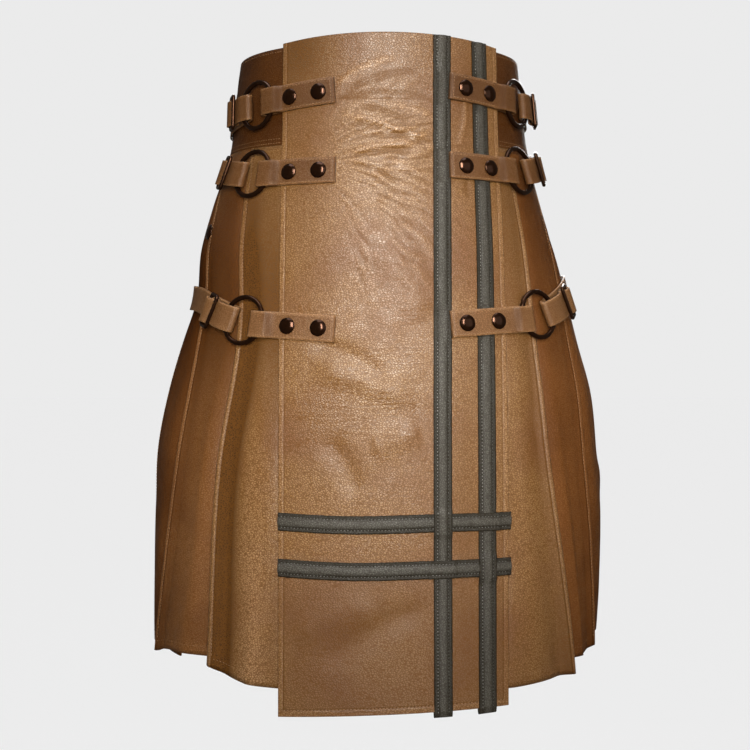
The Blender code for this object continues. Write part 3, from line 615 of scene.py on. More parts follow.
def makeYoke(side):
    # flat band with slow ripples across it, fading to its edges
    v = np.linspace(0, 1, yoke["rows"])[:, None]
    height = yoke["top"] + (cut["seam"] - yoke["top"]) * v
    start = sideEdge(side) - cut["tuck"]
    share = np.linspace(0, 1, yoke["columns"])[None, :]
    distance = start + (halfRound(height) + yoke["meet"] - start) * share
    fade = np.sin(math.pi * v) * np.sin(math.pi * share)
    across, lean, down, turn = yoke["waves"]
    lift = yoke["ripple"] * fade * np.sin(distance * across + height * lean) * np.cos(height * down + turn)
    lift = lift + creaseLift(yokeCreases[side], distance, height) * np.minimum(1, 4 * fade)
    much, wide = yoke["seamWear"]
    wearAndPaintedLight = much * bell(height - cut["seam"], wide) - yoke["endWear"] * (share == 1) + 0 * distance
    # in the darkest shaded copy of tan: painted shade
    leatherSheet("yokeBand_" + side, side, (distance, height, yoke["out"] + lift), "yokeShadedTan",
                 "yoke_" + side, {"wearAndPaintedLight": wearAndPaintedLight})


for side in sides:
    makeYoke(side)
print("yokes made")


foldHeights = (-0.0986, -0.190, -0.280, -0.380, -0.590)
# the fold's distance at those heights, its extra swell and dip, hem height at the front and at the fold
pleatTable = {
    ("left", 1): ((0.141, 0.146, 0.145, 0.161, 0.172), 0.0010, 0.0020, -0.587, -0.574),
    ("left", 2): ((0.194, 0.200, 0.200, 0.215, 0.258), 0.0015, 0.0005, -0.570, -0.582),
    ("left", 3): ((0.250, 0.266, 0.282, 0.303, 0.342), 0.0000, 0.0015, -0.580, -0.578),
    ("left", 4): ((0.307, 0.337, 0.368, 0.394, 0.430), 0.0020, 0.0000, -0.579, -0.583),
    ("left", 5): ((0.365, 0.412, 0.458, 0.491, 0.518), 0.0005, 0.0010, -0.584, -0.580),
    ("left", 6): (None, 0.0010, 0.0005, -0.582, -0.584),
    ("right", 1): ((0.121, 0.133, 0.139, 0.149, 0.186), 0.0000, 0.0015, -0.591, -0.593),
    ("right", 2): ((0.178, 0.188, 0.194, 0.201, 0.230), 0.0010, 0.0000, -0.581, -0.575),
    ("right", 3): ((0.238, 0.254, 0.274, 0.295, 0.325), 0.0020, 0.0010, -0.571, -0.578),
    ("right", 4): ((0.300, 0.330, 0.362, 0.390, 0.420), 0.0005, 0.0015, -0.578, -0.582),
    ("right", 5): ((0.361, 0.408, 0.455, 0.488, 0.513), 0.0015, 0.0005, -0.583, -0.581),
    ("right", 6): (None, 0.0000, 0.0010, -0.580, -0.584),
}
# distance out at start, under, edge, rise, swell, lap, dip and crest, at the top and at the hem
sections = {
    "top": (0.0004, 0.0004, 0.0004, 0.0033, 0.0048, 0.0049, 0.0049, 0.0049),
    "hem": (0.0004, 0.0004, 0.0008, 0.0052, 0.0094, 0.0088, 0.0082, 0.0132),
    "firstTop": (0.0029, 0.0037, 0.0046, 0.0049, 0.0049, 0.0049, 0.0049, 0.0049),
    "firstHem": (0.0030, 0.0062, 0.0086, 0.0100, 0.0108, 0.0098, 0.0076, 0.0132),
}
pleat = {
    "rows": 96,
    # hidden start, face, stitched ridge, fold, turned-under lap
    "columns": uneven(((0, 2, 6), (2, 6, 28), (6, 7, 18), (7, 9, 8), (9, 12, 9))),
    "leftStart": 0.0010,     # the first left panel is seamed beside the under apron
    "foldRoom": (0.0022, 0.0070),
    "lapDepth": (0.0220, 0.0350),
    "turnedEnd": (0.0027, 0.0029),
    "narrow": (0.0040, 0.12),        # the step up beside the front edge: most, and share of the width
    "riseAt": (0.25, 0.15),          # in steps at the top, in widths at the hem
    "swellAt": (2.5, 0.40),
    "leastLap": 0.55,
    "ridge": 0.0042,         # stitched ridge beside each fold
    "stitched": 0.0048,      # the groove of its stitches, from the fold
    "grooveWide": 0.0007,
    "relief": 0.0004,
    "drape": 0.0009,
    "waves": (17, 5.0, 31, 0.5),     # down and across, then finer down and its share
    "seeds": (1.7, {"left": 0.9, "right": 0.0}),
    "face": (2.2, 6.8),      # columns that the drape fades in after and out before
    "outerSide": 8.5,        # columns up to here are on the outer side
    "dipShare": 0.5,
    "lapShare": 0.45,
    "ease": (6, 2.5),        # how soon below the top the ridge and the dip's shade are full
    "hemTurn": (-0.480, 0.110),      # the hem's own line is reached from here, over this height
    "underlayHem": -0.578,
    "hemRow": -3,            # the row that the hem is stitched on, counted from the bottom
    "hemSewn": (2.4, 7.2),
    # painted shade in the dip behind a fold: how dark, how far it lies from the fold, and its width
    "dipShade": {("left", 1): (1.40, 0.0136, 0.0108), ("right", 1): (0.40, 0.0098, 0.0062)},
    "otherDip": (0.35, 0.0098, 0.0062),
    # the shade under the yoke: how much, its height, its reach
    "topShade": {"left": (0.85, -0.235, 0.105), "right": (0.50, -0.170, 0.075)},
    "hemShade": (0.16, -0.480, 0.060),
    # painted sheen down the face of the first pleats
    "paintedLight": {("left", 1): 0.90, ("left", 2): 0.25, ("right", 1): 0.10},
    "sheenAt": (0.42, 0.20),        # painted sheen: share of the width, and half width
    # painted highlight on the stitched ridge
    "ridgeHighlight": 0.26,
    # painted shade in the groove of its stitches
    "grooveShade": 0.85,
    # painted shade: past the first pleats the finish is a shaded copy of tan, half shaded on the second left
    # one
    "finish": {("left", 1): "tan", ("right", 1): "tan", ("left", 2): "halfShadedTan"},
    # the pleats nearer the back are a little lighter, with less painted shade, towards the front's tan; the
    # third a little darker
    "tone": {1: 0.0, 2: 0.0, 3: -0.12, 4: 0.14, 5: 0.26, 6: 0.34},
}


def fullness(height):
    # 0 at the first fold height to 1 at the last, to the power 1.2
    share = (foldHeights[0] - np.asarray(height, float)) / (foldHeights[0] - foldHeights[-1])
    return np.clip(share, 0.0, 1.05) ** 1.2


def blend(pair, height):
    # from the first at the top to the second at the hem, by fullness
    return pair[0] + (pair[1] - pair[0]) * fullness(height)


def crestOut(height):
    # how far out the outer face of a pleat's fold lies
    return blend((sections["top"][7], sections["hem"][7]), height) + cut["leather"] / 2


def foldLine(side, number, height):
    # distance of a fold: the side edge first, the centre back last, cubic by height between
    if number == 0:
        return sideEdge(side) + 0 * np.asarray(height, float)
    if number == cut["pleats"]:
        return halfRound(height) - (cut["leather"] + cut["gap"]) / 2
    return smoothCurve(height, foldHeights, pleatTable[(side, number)][0])


def lapDepth(side, number, height):
    # how deep the leather turns under: by fullness, at most a share of the pleat's width
    full = blend(pleat["lapDepth"], height)
    if number in (0, cut["pleats"]):
        return full
    width = foldLine(side, number, height) - foldLine(side, number - 1, height)
    return np.minimum(full, pleat["leastLap"] * width)


def fillAlong(knots, u):
    # harmonic mean slopes, so the curve never overshoots its knots
    steps = np.diff(knots, axis=1)
    left, right = steps[:, :-1], steps[:, 1:]
    same = left * right > 0
    inner = np.where(same, 2 * left * right / np.where(same, left + right, 1.0), 0.0)
    return alongKnots(knots, np.hstack([steps[:, :1], inner, steps[:, -1:]]), u)


def makePleat(side, number):
    # 13 knots across each level: hidden start, face, fold, turned-under lap
    which = (side, number)
    swellMore, dipMore, hemFront, hemFold = pleatTable[which][1:]
    first = number == 1
    level = np.linspace(cut["pleatTop"], cut["pleatHem"], pleat["rows"])
    front = foldLine(side, number - 1, level)
    fold = foldLine(side, number, level)
    full = fullness(level)
    lap = lapDepth(side, number, level)
    lead = cut["tuck"] + 0 * level if first else lapDepth(side, number - 1, level)
    room = blend(pleat["foldRoom"], level)
    top = np.array(sections["firstTop" if first else "top"])[:, None]
    hem = np.array(sections["firstHem" if first else "hem"])[:, None]
    start, under, edge, rise, swell, lapOut, dip, crest = top + (hem - top) * full[None, :]
    if which == ("left", 1):
        start = pleat["leftStart"] + 0 * level
    bend = room / 2
    wide = fold - front
    most, part = pleat["narrow"]
    narrow = np.minimum(most, part * wide) * (1 - full)
    riseAt, swellAt = (front + high * narrow + low * wide * full
                       for high, low in (pleat["riseAt"], pleat["swellAt"]))
    turned = blend(pleat["turnedEnd"], level)
    inner = crest - room
    arc = bend * math.cos(math.pi / 6)
    distances = [front - lead, front - lead / 2, front, riseAt, swellAt, fold - lap, fold - lap / 2,
                 fold - bend, fold - bend + arc, fold - bend + arc, fold - bend, fold - lap / 2, fold - lap]
    halfTurned = turned + (inner - turned) * pleat["lapShare"]
    outs = [start, under, edge, rise, swell + swellMore * full, lapOut,
            dip - dipMore * full * pleat["dipShare"], crest, crest - bend / 2, crest - 3 * bend / 2,
            inner, halfTurned, turned]
    distance = fillAlong(np.stack(distances, 1), pleat["columns"])
    out = fillAlong(np.stack(outs, 1), pleat["columns"])
    span = np.clip((distance - front[:, None]) / wide[:, None], 0, 1)
    hemLine = hemFront + (hemFold - hemFront) * span**3
    height = level[:, None] + (hemLine - cut["pleatHem"]) * belowBy(level, *pleat["hemTurn"])[:, None]
    # slow drape on the face, different on each pleat
    across = pleat["columns"][None, :]
    full = full[:, None]
    fadeIn, fadeOut = pleat["face"]
    face = np.clip(across - fadeIn, 0, 1) * np.clip(fadeOut - across, 0, 1)
    each, sideSeed = pleat["seeds"]
    seed = number * each + sideSeed[side]
    down, over, finer, part = pleat["waves"]
    drape = np.sin(height * down + seed) * np.cos(span * over + seed * 2.1)
    drape = drape + part * np.sin(height * finer + seed * 3)
    lift = pleat["drape"] * drape * full + creaseLift(pleatCreases[side], distance, height)
    toFold = fold[:, None] - distance
    outerSide = across < pleat["outerSide"]
    ridgeEase, dipEase = pleat["ease"]
    ridge = bell(toFold - pleat["ridge"] / 2, pleat["ridge"] / 2, 4) * outerSide
    groove = bell(toFold - pleat["stitched"], pleat["grooveWide"]) * outerSide
    out = out + face * lift + pleat["relief"] * (ridge - groove) * np.minimum(1, full * ridgeEase)
    # painted shade: darker where the leather dips behind the fold, under the yoke and near the hem
    much, dipAt, dipWide = pleat["dipShade"].get(which, pleat["otherDip"])
    shade = much * bell(toFold - dipAt, dipWide) * outerSide * np.minimum(1, full * dipEase)
    much, shadeAt, reach = pleat["topShade"][side]
    shade = shade + much * bell(height - shadeAt, reach)
    much, shadeAt, reach = pleat["hemShade"]
    shade = shade + much * belowBy(height, shadeAt, reach)
    # painted sheen on the face
    sheenAt, sheenWide = pleat["sheenAt"]
    paintedLight = pleat["paintedLight"].get(which, 0.0) * bell(span - sheenAt, sheenWide) * full * outerSide
    # painted highlight on the ridge, painted shade in its stitched groove and behind the fold
    wearAndPaintedLight = pleat["ridgeHighlight"] * ridge - pleat["grooveShade"] * groove - shade * (1 - ridge)
    wearAndPaintedLight = wearAndPaintedLight + paintedLight + pleat["tone"][number]
    label = "%s_%d" % which
    leatherSheet("pleatPanel_" + label, side, (distance, height, out),
                 pleat["finish"].get(which, "shadedTan"), "pleat_" + label, {"wearAndPaintedLight": wearAndPaintedLight})
    # the line of the hem's stitches, on the outer face
    first, last = pleat["hemSewn"]
    at = (pleat["hemRow"], (pleat["columns"] > first) & (pleat["columns"] < last))
    return side, distance[at], height[at], out[at] + cut["leather"] / 2


def makeBackUnderlay():
    # a level band, one lap wide each side of the centre back
    height = np.linspace(cut["pleatTop"], pleat["underlayHem"], 60)[:, None]
    share = np.linspace(-1, 1, 20)[None, :]
    distance = halfRound(height) + share * blend(pleat["lapDepth"], height)
    # in a shaded copy of tan: painted shade
    leatherSheet("backUnderlay", "right", (distance, height, sections["top"][0]), "shadedTan", "pleat_back")


hemRows = [makePleat(side, number) for side, number in everyPleat]
makeBackUnderlay()
print("pleats made")


tape = {
    "width": 0.0160,
    "drop": 0.0055,
    "past": 0.0020,          # the level tapes end just past the apron's edge
    "turnUp": 0.0140,
    "middle": {"a": 0.0435, "b": 0.0833, "upper": -0.4365, "lower": -0.4775},
    "over": {"a": "upper", "b": "lower", "upper": "b", "lower": "a"},      # on top where it crosses this one
    "lean": {"a": 0.0, "b": 0.0024},       # how far the top leans towards the middle
    "bow": 0.0006,
    "crown": 0.0011,         # it puffs between its stitch rows
    "row": 0.29,             # stitch rows, as a share of the width from its middle
    "rowWide": 0.05,
    "tabs": (-0.048, -0.119, -0.260),      # the upright tapes lie flat under the tabs there
    "tabReach": (0.0135, 0.0040),      # half a tab, and how soon past it they are full
    "overReach": (0.0008, 0.0050),     # room beside the other tape, and the slope down from it
    # painted highlight on the crown, painted shade along the stitch rows
    "paintedLight": 0.30,
    "rowShade": 0.60,
    "edgeWear": (0.80, 0.06),
    "clear": cut["leather"] / 2 + cut["gap"] + cut["tapeWall"] / 2,
}
uprights = ("a", "b")
levels = ("upper", "lower")


def tapeLine(name, at, share):
    # distance and height of a line along the tape, at this share of its width from its middle
    middle = tape["middle"][name]
    if name in levels:
        return at + 0 * share, middle + share * tape["width"] + tape["bow"] * np.sin(at * 40)
    middle = middle - tape["lean"][name] * np.clip(1 + at / 0.20, 0, 1)
    return middle + share * tape["width"], at + 0 * share


def overLift(name, at):
    # up over the other tape, easing to nothing each side of it
    flat, slope = tape["overReach"]
    off = np.abs(at - tape["middle"][tape["over"][name]]) - tape["width"] / 2 - flat
    return (cut["tapeWall"] + cut["gap"]) * eased(np.clip(1 - off / slope, 0, 1))


def rowBell(share):
    # 1 on a stitch row, falling as a bell each side
    return bell(np.abs(share) - tape["row"], tape["rowWide"])


def tapeCrown(share):
    # low at both stitch rows, a soft puff between them
    return tape["crown"] * (np.cos(share * math.pi) ** 2 - 0.6 * rowBell(share))


def tapeRise(height):
    # 0 under each tab, easing to 1 past its edges
    half, ease = tape["tabReach"]
    off = np.abs(height[..., None] - np.array(tape["tabs"])).min(-1) - half
    return np.clip(off / ease, 0, 1)


def tapeLightAndEdges(share):
    # dull and darker by painted shade along the stitch rows, dull at the cut edges, lighter by a painted
    # highlight at the crown
    much, wide = tape["edgeWear"]
    crown = tape["paintedLight"] * np.cos(share * math.pi) ** 4
    return crown - tape["rowShade"] * rowBell(share) - much * bell(np.abs(share) - 0.5, wide)


def layTape(name, laid, share, node):
    wearAndPaintedLight = tapeLightAndEdges(share) + 0 * laid[0]
    leatherSheet(name, "right", laid, "greyTape", node, {"wearAndPaintedLight": wearAndPaintedLight})


def makeUprightTape(name):
    # down the apron's face, round its hem and up behind it
    middle = tape["middle"][name]
    low = apronHem(middle)
    straight = np.linspace(apronTop(middle), low, 300)
    turn = np.radians(np.linspace(90, -90, 13))[1:]
    behind = np.array([low + tape["turnUp"] / 2, low + tape["turnUp"]])
    at = np.concatenate([straight, low - (tape["drop"] - cut["tapeWall"] / 2) * np.cos(turn), behind])
    outs = np.concatenate([apronOut(straight) + tape["clear"] + overLift(name, straight),
                           apronOut(low) + tape["clear"] * np.sin(turn), apronOut(behind) - tape["clear"]])
    share = np.linspace(-0.5, 0.5, 17)[None, :]
    distance, height = tapeLine(name, at[:, None], share)
    onFront = (np.arange(len(at)) < len(straight))[:, None]
    out = outs[:, None] + onFront * (tapeCrown(share) * tapeRise(height) + apronLift(distance, height))
    layTape("uprightTape_" + name, (distance, height, out), share, "tape_upright_" + name)


def makeLevelTape(name):
    # the apron's face + clearance + rise over the other tape + crown + creases
    along = np.linspace(-apron["left"], apron["right"] + tape["past"], 220)[None, :]
    share = np.linspace(0.5, -0.5, 17)[:, None]
    distance, height = tapeLine(name, along, share)
    out = apronOut(height) + tape["clear"] + overLift(name, along) + tapeCrown(share)
    out = out + apronLift(distance, height)
    layTape("levelTape_" + name, (distance, height, out), share, "tape_level_" + name)


for name in uprights:
    makeUprightTape(name)
for name in levels:
    makeLevelTape(name)
print("tapes made")


hardware = {
    "strapWidth": 0.0238,
    "strapEase": 0.0013,
    "ringRadius": 0.02125,
    "ringWire": 0.00225,
    "sliderWire": 0.00175,
    "sliderLength": 0.0110,
    "sliderHeight": 0.0304,
    "sliderCorner": 0.0018,
    "eyeRadius": 0.0035,
    "eyeInset": 0.0080,
    "wireMiddle": 0.0194,
    "ringOut": 0.012,        # the ring's directions are taken this far out
    "tabRejoin": 0.0240,
    "backEyeLift": 0.0015,
    "endLift": 0.0003,
    "loopSwell": 0.0016,     # the loop stands up a little between its ring and slider
    "anchorReach": 0.045,
    "straightPast": (0.030, 0.016, 0.040),      # straight past the slider, and before the ring
    "runSwell": 0.0007,
    "overBar": ((0.0010, 0.0), (0.0070, 0.85)),      # past the near bar, and how far out in wraps
    "wrapTurn": (80, 40, 0, -40, -80),
    "strapEnd": ((0.0012, 1.22), (0.0030, 1.40)),      # before the far and past the near bar, wraps in
    "pastTape": 0.0012,      # a tab stays up this far past the tape
    "easeOff": (0.0060, 0.0030),     # then its lower and upper layer come down by here
    "step": {"at": 0.0030, "share": 0.65, "end": 0.0070, "rise": 0.0004, "crease": 0.0036},
    "edgeWear": (0.70, 0.49, 0.06),      # much, its place as a share of the width, half width
    "stepShade": (0.45, 0.0032),
    "nearSnap": 0.0640,
    "sideSnap": (0.1995, -0.174),
    "tone": {1: -0.24, 2: -0.14, 3: 0.20},      # the top straps are darker, the lowest lighter
}
strapColumns = ("tabEnd", "snap", "ring", "slider", "anchor", "zTab", "zRing", "zSlider")
strapTable = {
    ("left", 1): (0.0500, 0.0910, 0.1275, 0.1530, 0.232, -0.0515, -0.0590, -0.0620),
    ("left", 2): (0.0495, 0.0912, 0.1300, 0.1580, 0.243, -0.1235, -0.1250, -0.1205),
    ("left", 3): (0.0497, 0.0915, 0.1340, 0.1640, 0.262, -0.2657, -0.2605, -0.2510),
    ("right", 1): (0.0495, 0.0888, 0.1290, 0.1545, 0.232, -0.0465, -0.0540, -0.0560),
    ("right", 2): (0.0495, 0.0890, 0.1270, 0.1525, 0.234, -0.1185, -0.1205, -0.1150),
    ("right", 3): (0.0502, 0.0930, 0.1369, 0.1700, 0.258, -0.2614, -0.2560, -0.2430),
}


def strapRow(side, number):
    # the row's places, with how far out its leather and eyes lie
    row = dict(zip(strapColumns, strapTable[(side, number)]))
    tab = apronOut(row["zRing"]) + cut["leather"] / 2 + cut["restGap"] + cut["strapWall"] / 2
    below = crestOut(row["zRing"] - hardware["strapWidth"] / 2)
    run = below + hardware["strapEase"] + cut["strapWall"] / 2
    row.update({
        "side": side,
        "label": "%s_%d" % (side, number),
        "tone": hardware["tone"][number],
        "ringSpot": (side, row["ring"], row["zRing"]),
        "tab": tab,
        "onTape": cut["tapeWall"] + cut["gap"] if side == "right" else 0.0,
        "frontEye": tab + hardware["eyeRadius"],
        "backEye": run + hardware["eyeRadius"] + hardware["backEyeLift"],
        "run": run,
    })
    return row


def tabHeight(row, distance):
    # straight from the end of the tab to the ring
    slope = (row["zRing"] - row["zTab"]) / (row["ring"] - row["tabEnd"])
    return row["zTab"] + slope * (distance - row["tabEnd"])


def strapHeight(row, distance):
    # straight through the ring and the slider, nearly level at the anchor
    slope = (row["zSlider"] - row["zRing"]) / (row["slider"] - row["ring"])
    far, near, before = hardware["straightPast"]
    places = (row["anchor"], row["slider"] + far, row["slider"] + near, row["slider"], row["ring"],
              row["ring"] - before)
    reach = [spot - row["slider"] for spot in places]
    reach[0] = hardware["anchorReach"]
    return smoothCurve(distance, places, [row["zSlider"] + slope * r for r in reach])


def squareAcross(side, distance, climb, height, out):
    # the direction across the strap, one unit long, square to its run on the surface
    along, rise = surfaceRuns(side, distance, height, out)
    longLong = (along * along).sum(-1)
    longRise = (along * rise).sum(-1)
    riseRise = (rise * rise).sum(-1)
    back = -(longRise + riseRise * climb)
    up = longLong + longRise * climb
    size = np.sqrt(back**2 * longLong + 2 * back * up * longRise + up**2 * riseRise)
    return back / size, up / size


def roundedPath(path, each):
    # slopes from both neighbours, each step of the path cut into equal shares
    knots = np.array(path, float).T
    last = knots.shape[1] - 1
    return alongKnots(knots, np.gradient(knots, axis=1), np.linspace(0, last, last * each + 1))


def ribbonPoints(row, path, heightAt, across):
    # lines along the path, at these shares of the strap's width from its middle
    distance, out = path
    middle = heightAt(row, distance)
    small = 0.002
    climb = (heightAt(row, distance + small) - heightAt(row, distance - small)) / (2 * small)
    stepRound, stepUp = squareAcross(row["side"], distance, climb, middle, out)
    reach = across[:, None] * hardware["strapWidth"]
    edge = distance[None, :] + reach * stepRound[None, :]
    return edge, middle[None, :] + reach * stepUp[None, :], out[None, :] + 0 * edge


def makeRibbon(name, row, path, heightAt, node, stepAt=None):
    # the strap's width carried along its rounded path, lighter by its edges
    across = np.linspace(0.5, -0.5, 13)
    distance, height, out = ribbonPoints(row, roundedPath(path, 3), heightAt, across)
    much, edge, wide = hardware["edgeWear"]
    wearAndPaintedLight = row["tone"] + much * bell(np.abs(across) - edge, wide)[:, None] + 0 * distance
    if stepAt is not None:
        # where the strap steps down beside its ring it is creased, and darker by painted shade
        much, wide = hardware["stepShade"]
        wearAndPaintedLight = wearAndPaintedLight - much * bell(distance - stepAt, wide)
    leatherSheet(name + row["label"], row["side"], (distance, height, out), "strapTan",
                 node + row["label"], {"wearAndPaintedLight": wearAndPaintedLight})


def eyeTurn(row, eye, towardsBack):
    # half a turn round the ring's wire, and the scale between length and distance there
    scale = stretchAt(*row["ringSpot"], row[eye])
    sign = 1 if towardsBack else -1
    bend = row["ring"] - sign * (hardware["eyeInset"] + hardware["eyeRadius"] + cut["strapWall"] / 2) / scale
    turn = np.radians(np.linspace(-90, 90, 7))
    distance = bend + sign * (hardware["eyeRadius"] / scale) * np.cos(turn)
    return scale, list(zip(distance, row[eye] + hardware["eyeRadius"] * np.sin(turn)))


def makeTab(row):
    # from its end over the tape to the ring, back over itself, and down beside the ring
    scale, turned = eyeTurn(row, "frontEye", True)
    wireEnd = row["ring"] - hardware["tabRejoin"] / scale
    tapeEnd = tape["middle"]["b"] + tape["width"] / 2 + hardware["pastTape"]
    lowerOff, upperOff = hardware["easeOff"]
    step = hardware["step"]
    onPanel = np.linspace(row["tabEnd"], tapeEnd, 5)
    raised = row["onTape"]
    low = row["tab"] + cut["strapWall"] + cut["gap"]
    top = row["frontEye"] + hardware["eyeRadius"]
    path = [(d, row["tab"] + raised) for d in onPanel]
    path += [(tapeEnd + lowerOff, row["tab"]), (wireEnd, row["tab"]), *turned, (wireEnd, top)]
    path += [(wireEnd - step["at"], top * step["share"] + (low + raised) * (1 - step["share"]))]
    path += [(max(wireEnd - step["end"], tapeEnd + upperOff), low + raised + step["rise"])]
    path += [(d, low + raised) for d in onPanel[::-1]]
    makeRibbon("tabLoop_", row, path, tabHeight, "tab_", wireEnd - step["crease"])
    return low + raised + cut["strapWall"] / 2


def makeStrap(row):
    # from its anchor to the ring, back over itself, and round the slider's far wire
    scale, turned = eyeTurn(row, "backEye", False)
    bend = turned[0][0]
    bar = row["slider"]
    endBar = bar + hardware["sliderLength"] / scale
    wrap = hardware["sliderWire"] + cut["restGap"] + cut["strapWall"] / 2
    top = row["backEye"] + hardware["eyeRadius"]
    endOut = top + hardware["endLift"]
    path = [(d, row["run"]) for d in np.linspace(row["anchor"], bar, 8)]
    path += [((bar + bend) / 2, row["run"] + hardware["runSwell"]), *turned]
    (near, nearOut), (far, farOut) = hardware["overBar"]
    path += [((bend + bar) / 2, top + hardware["loopSwell"]), (bar + near / scale, top + wrap * nearOut)]
    path += [(bar + far / scale, endOut + wrap * farOut)]
    turn = np.radians(hardware["wrapTurn"])
    path += list(zip(endBar + wrap * np.cos(turn) / scale, endOut + wrap * np.sin(turn)))
    (far, farIn), (near, nearIn) = hardware["strapEnd"]
    path += [(endBar - far / scale, endOut - wrap * farIn), (bar + near / scale, endOut - wrap * nearIn)]
    makeRibbon("sideStrap_", row, path, strapHeight, "strap_")


def fullTurn(count):
    # even angles round one turn
    return np.linspace(0, 2 * math.pi, count, endpoint=False)


def ellipse(turn, first, second):
    # cos x first + sin x second
    turn = turn[:, None]
    return np.cos(turn) * first + np.sin(turn) * second


def capFaces(start, count, tip, turned=False):
    # triangles from the ring of points at start to one point
    first = start + np.arange(count)
    after = np.roll(first, -1)
    pair = (after, first) if turned else (first, after)
    return np.stack([0 * first + tip, *pair], 1)


def tubeRound(row, name, node, line, tangent, outward, radius, segments):
    # a circle of this radius carried round the closed line
    ring = ellipse(fullTurn(segments), unit(np.cross(tangent, outward))[:, None, :], outward)
    addMesh(name + row["label"], line[:, None, :] + radius * ring,
            gridFaces(len(line), segments, True, True), "antiqueBronze", [node + row["label"]])


def wireFrame(front, back, outward):
    # middle of a flat wire loop between two points, with its directions along, up and out
    along = unit(back - front)
    up = unit(np.cross(outward, along))
    return (front + back) / 2, along, up, unit(np.cross(along, up))


def onRow(row, distance, heightAt, out):
    # a point on the row's own line
    return placeFrom(row["side"], distance, heightAt(row, distance), out)


def makeRing(row):
    # middle + radius x (cos x along + sin x up), through both eyes
    reach = hardware["wireMiddle"] / stretchAt(*row["ringSpot"], hardware["ringOut"])
    front = onRow(row, row["ring"] - reach, tabHeight, row["frontEye"])
    back = onRow(row, row["ring"] + reach, strapHeight, row["backEye"])
    middle, along, up, outward = wireFrame(front, back, outwardAt(*row["ringSpot"], hardware["ringOut"]))
    turn = fullTurn(72)
    line = middle + hardware["ringRadius"] * ellipse(turn, along, up)
    tubeRound(row, "roundRing_", "ring_", line, ellipse(turn, up, -along), outward, hardware["ringWire"], 14)


def makeSlider(row):
    # a rectangle of wire with rounded corners
    top = row["backEye"] + hardware["eyeRadius"]
    spot = (row["side"], row["slider"], row["zSlider"], top)
    over = top + cut["strapWall"] / 2 + cut["restGap"] + hardware["sliderWire"]
    far = row["slider"] + hardware["sliderLength"] / stretchAt(*spot)
    front = onRow(row, row["slider"], strapHeight, over)
    back = onRow(row, far, strapHeight, top + hardware["endLift"])
    middle, along, up, outward = wireFrame(front, back, outwardAt(*spot))
    corner = hardware["sliderCorner"]
    turn = np.radians(np.concatenate([np.linspace(a, a + 90, 7) for a in (0, 90, 180, 270)]))
    x = np.repeat([1, -1, -1, 1], 7) * (np.linalg.norm(back - front) / 2 - corner) + corner * np.cos(turn)
    y = np.repeat([1, 1, -1, -1], 7) * (hardware["sliderHeight"] / 2 - corner) + corner * np.sin(turn)
    line = middle + x[:, None] * along + y[:, None] * up
    tangent = unit(np.roll(line, -1, 0) - np.roll(line, 1, 0))
    tubeRound(row, "wireSlider_", "slider_", line, tangent, outward, hardware["sliderWire"], 12)


# half outline of a snap's cap: distance from its axis and rise
capOutline = ((0.0071, 0.0000), (0.0075, 0.0004), (0.0074, 0.0009), (0.0070, 0.0013), (0.0063, 0.0016),
              (0.0055, 0.0021), (0.0040, 0.0027), (0.0020, 0.0030))
capTop = 0.0031


def makeSnap(label, *spot):
    # the outline turned about the cap's axis, closed by one point at each pole
    reach, rise = np.array(capOutline).T
    centre = placeFrom(*spot)
    outward = outwardAt(*spot)
    along = unit(np.cross(outward, np.array([0.0, 0.0, 1.0])))
    up = unit(np.cross(outward, along))
    segments = 36
    circle = ellipse(fullTurn(segments), along, up)
    rings = centre + reach[:, None, None] * circle + rise[:, None, None] * outward
    points = np.vstack([rings.reshape(-1, 3), centre[None], (centre + capTop * outward)[None]])
    bottom, top = len(points) - 2, len(points) - 1
    faces = gridFaces(len(reach), segments, True).tolist() + capFaces(0, segments, bottom).tolist()
    faces += capFaces((len(reach) - 1) * segments, segments, top, True).tolist()
    addMesh("snapCap_" + label, points, faces, "capBronze", ["snap_" + label])


strapRows = [strapRow(side, number) for side, number in strapTable]
for row in strapRows:
    row["top"] = makeTab(row)
    makeStrap(row)
    makeRing(row)
    makeSlider(row)
    for which, distance in ((1, hardware["nearSnap"]), (2, row["snap"])):
        makeSnap("%s_%d" % (row["label"], which), row["side"], distance, tabHeight(row, distance),
                 row["top"] + cut["gap"])
sideDistance, sideHeight = hardware["sideSnap"]
makeSnap("side", "left", sideDistance, sideHeight, crestOut(sideHeight) + cut["gap"])
print("straps and hardware made")


threads = {
    "fine": {"pitch": 0.0032, "length": 0.0024, "radius": 0.00028, "sink": 0.0001},
    "tape": {"pitch": 0.0030, "length": 0.0023, "radius": 0.00040, "sink": 0.0001},
}
# rings of a stitch: share of its length from its middle, share of its radius
stitchRings = ((-0.42, 0.65), (-0.18, 1.0), (0.18, 1.0), (0.42, 0.65))
sewing = {
    "apronSides": (-0.006, -0.598),      # between these heights
    "inBand": 0.0003,        # just outside the inner line of the edge band
    "apronHem": (0.0040, 0.0058),        # from the sides, and above the hem
    "yoke": (0.104, 0.0020),             # starts here, ends before the centre back
    "aboveSeam": (0.0022, 0.0060),
    "belowTop": 0.0030,
    "folds": (0.0040, -0.566),           # from below the pleat's top to this height
    "uprights": (0.0030, 0.0010),        # below the apron's top, and below its hem line
    "levels": 0.0020,        # from the apron's sides
    "tabSides": (0.0030, 0.0080, 0.42),      # past its end, before its step, share of its width
    "tabEnd": (0.0034, 0.40),
}


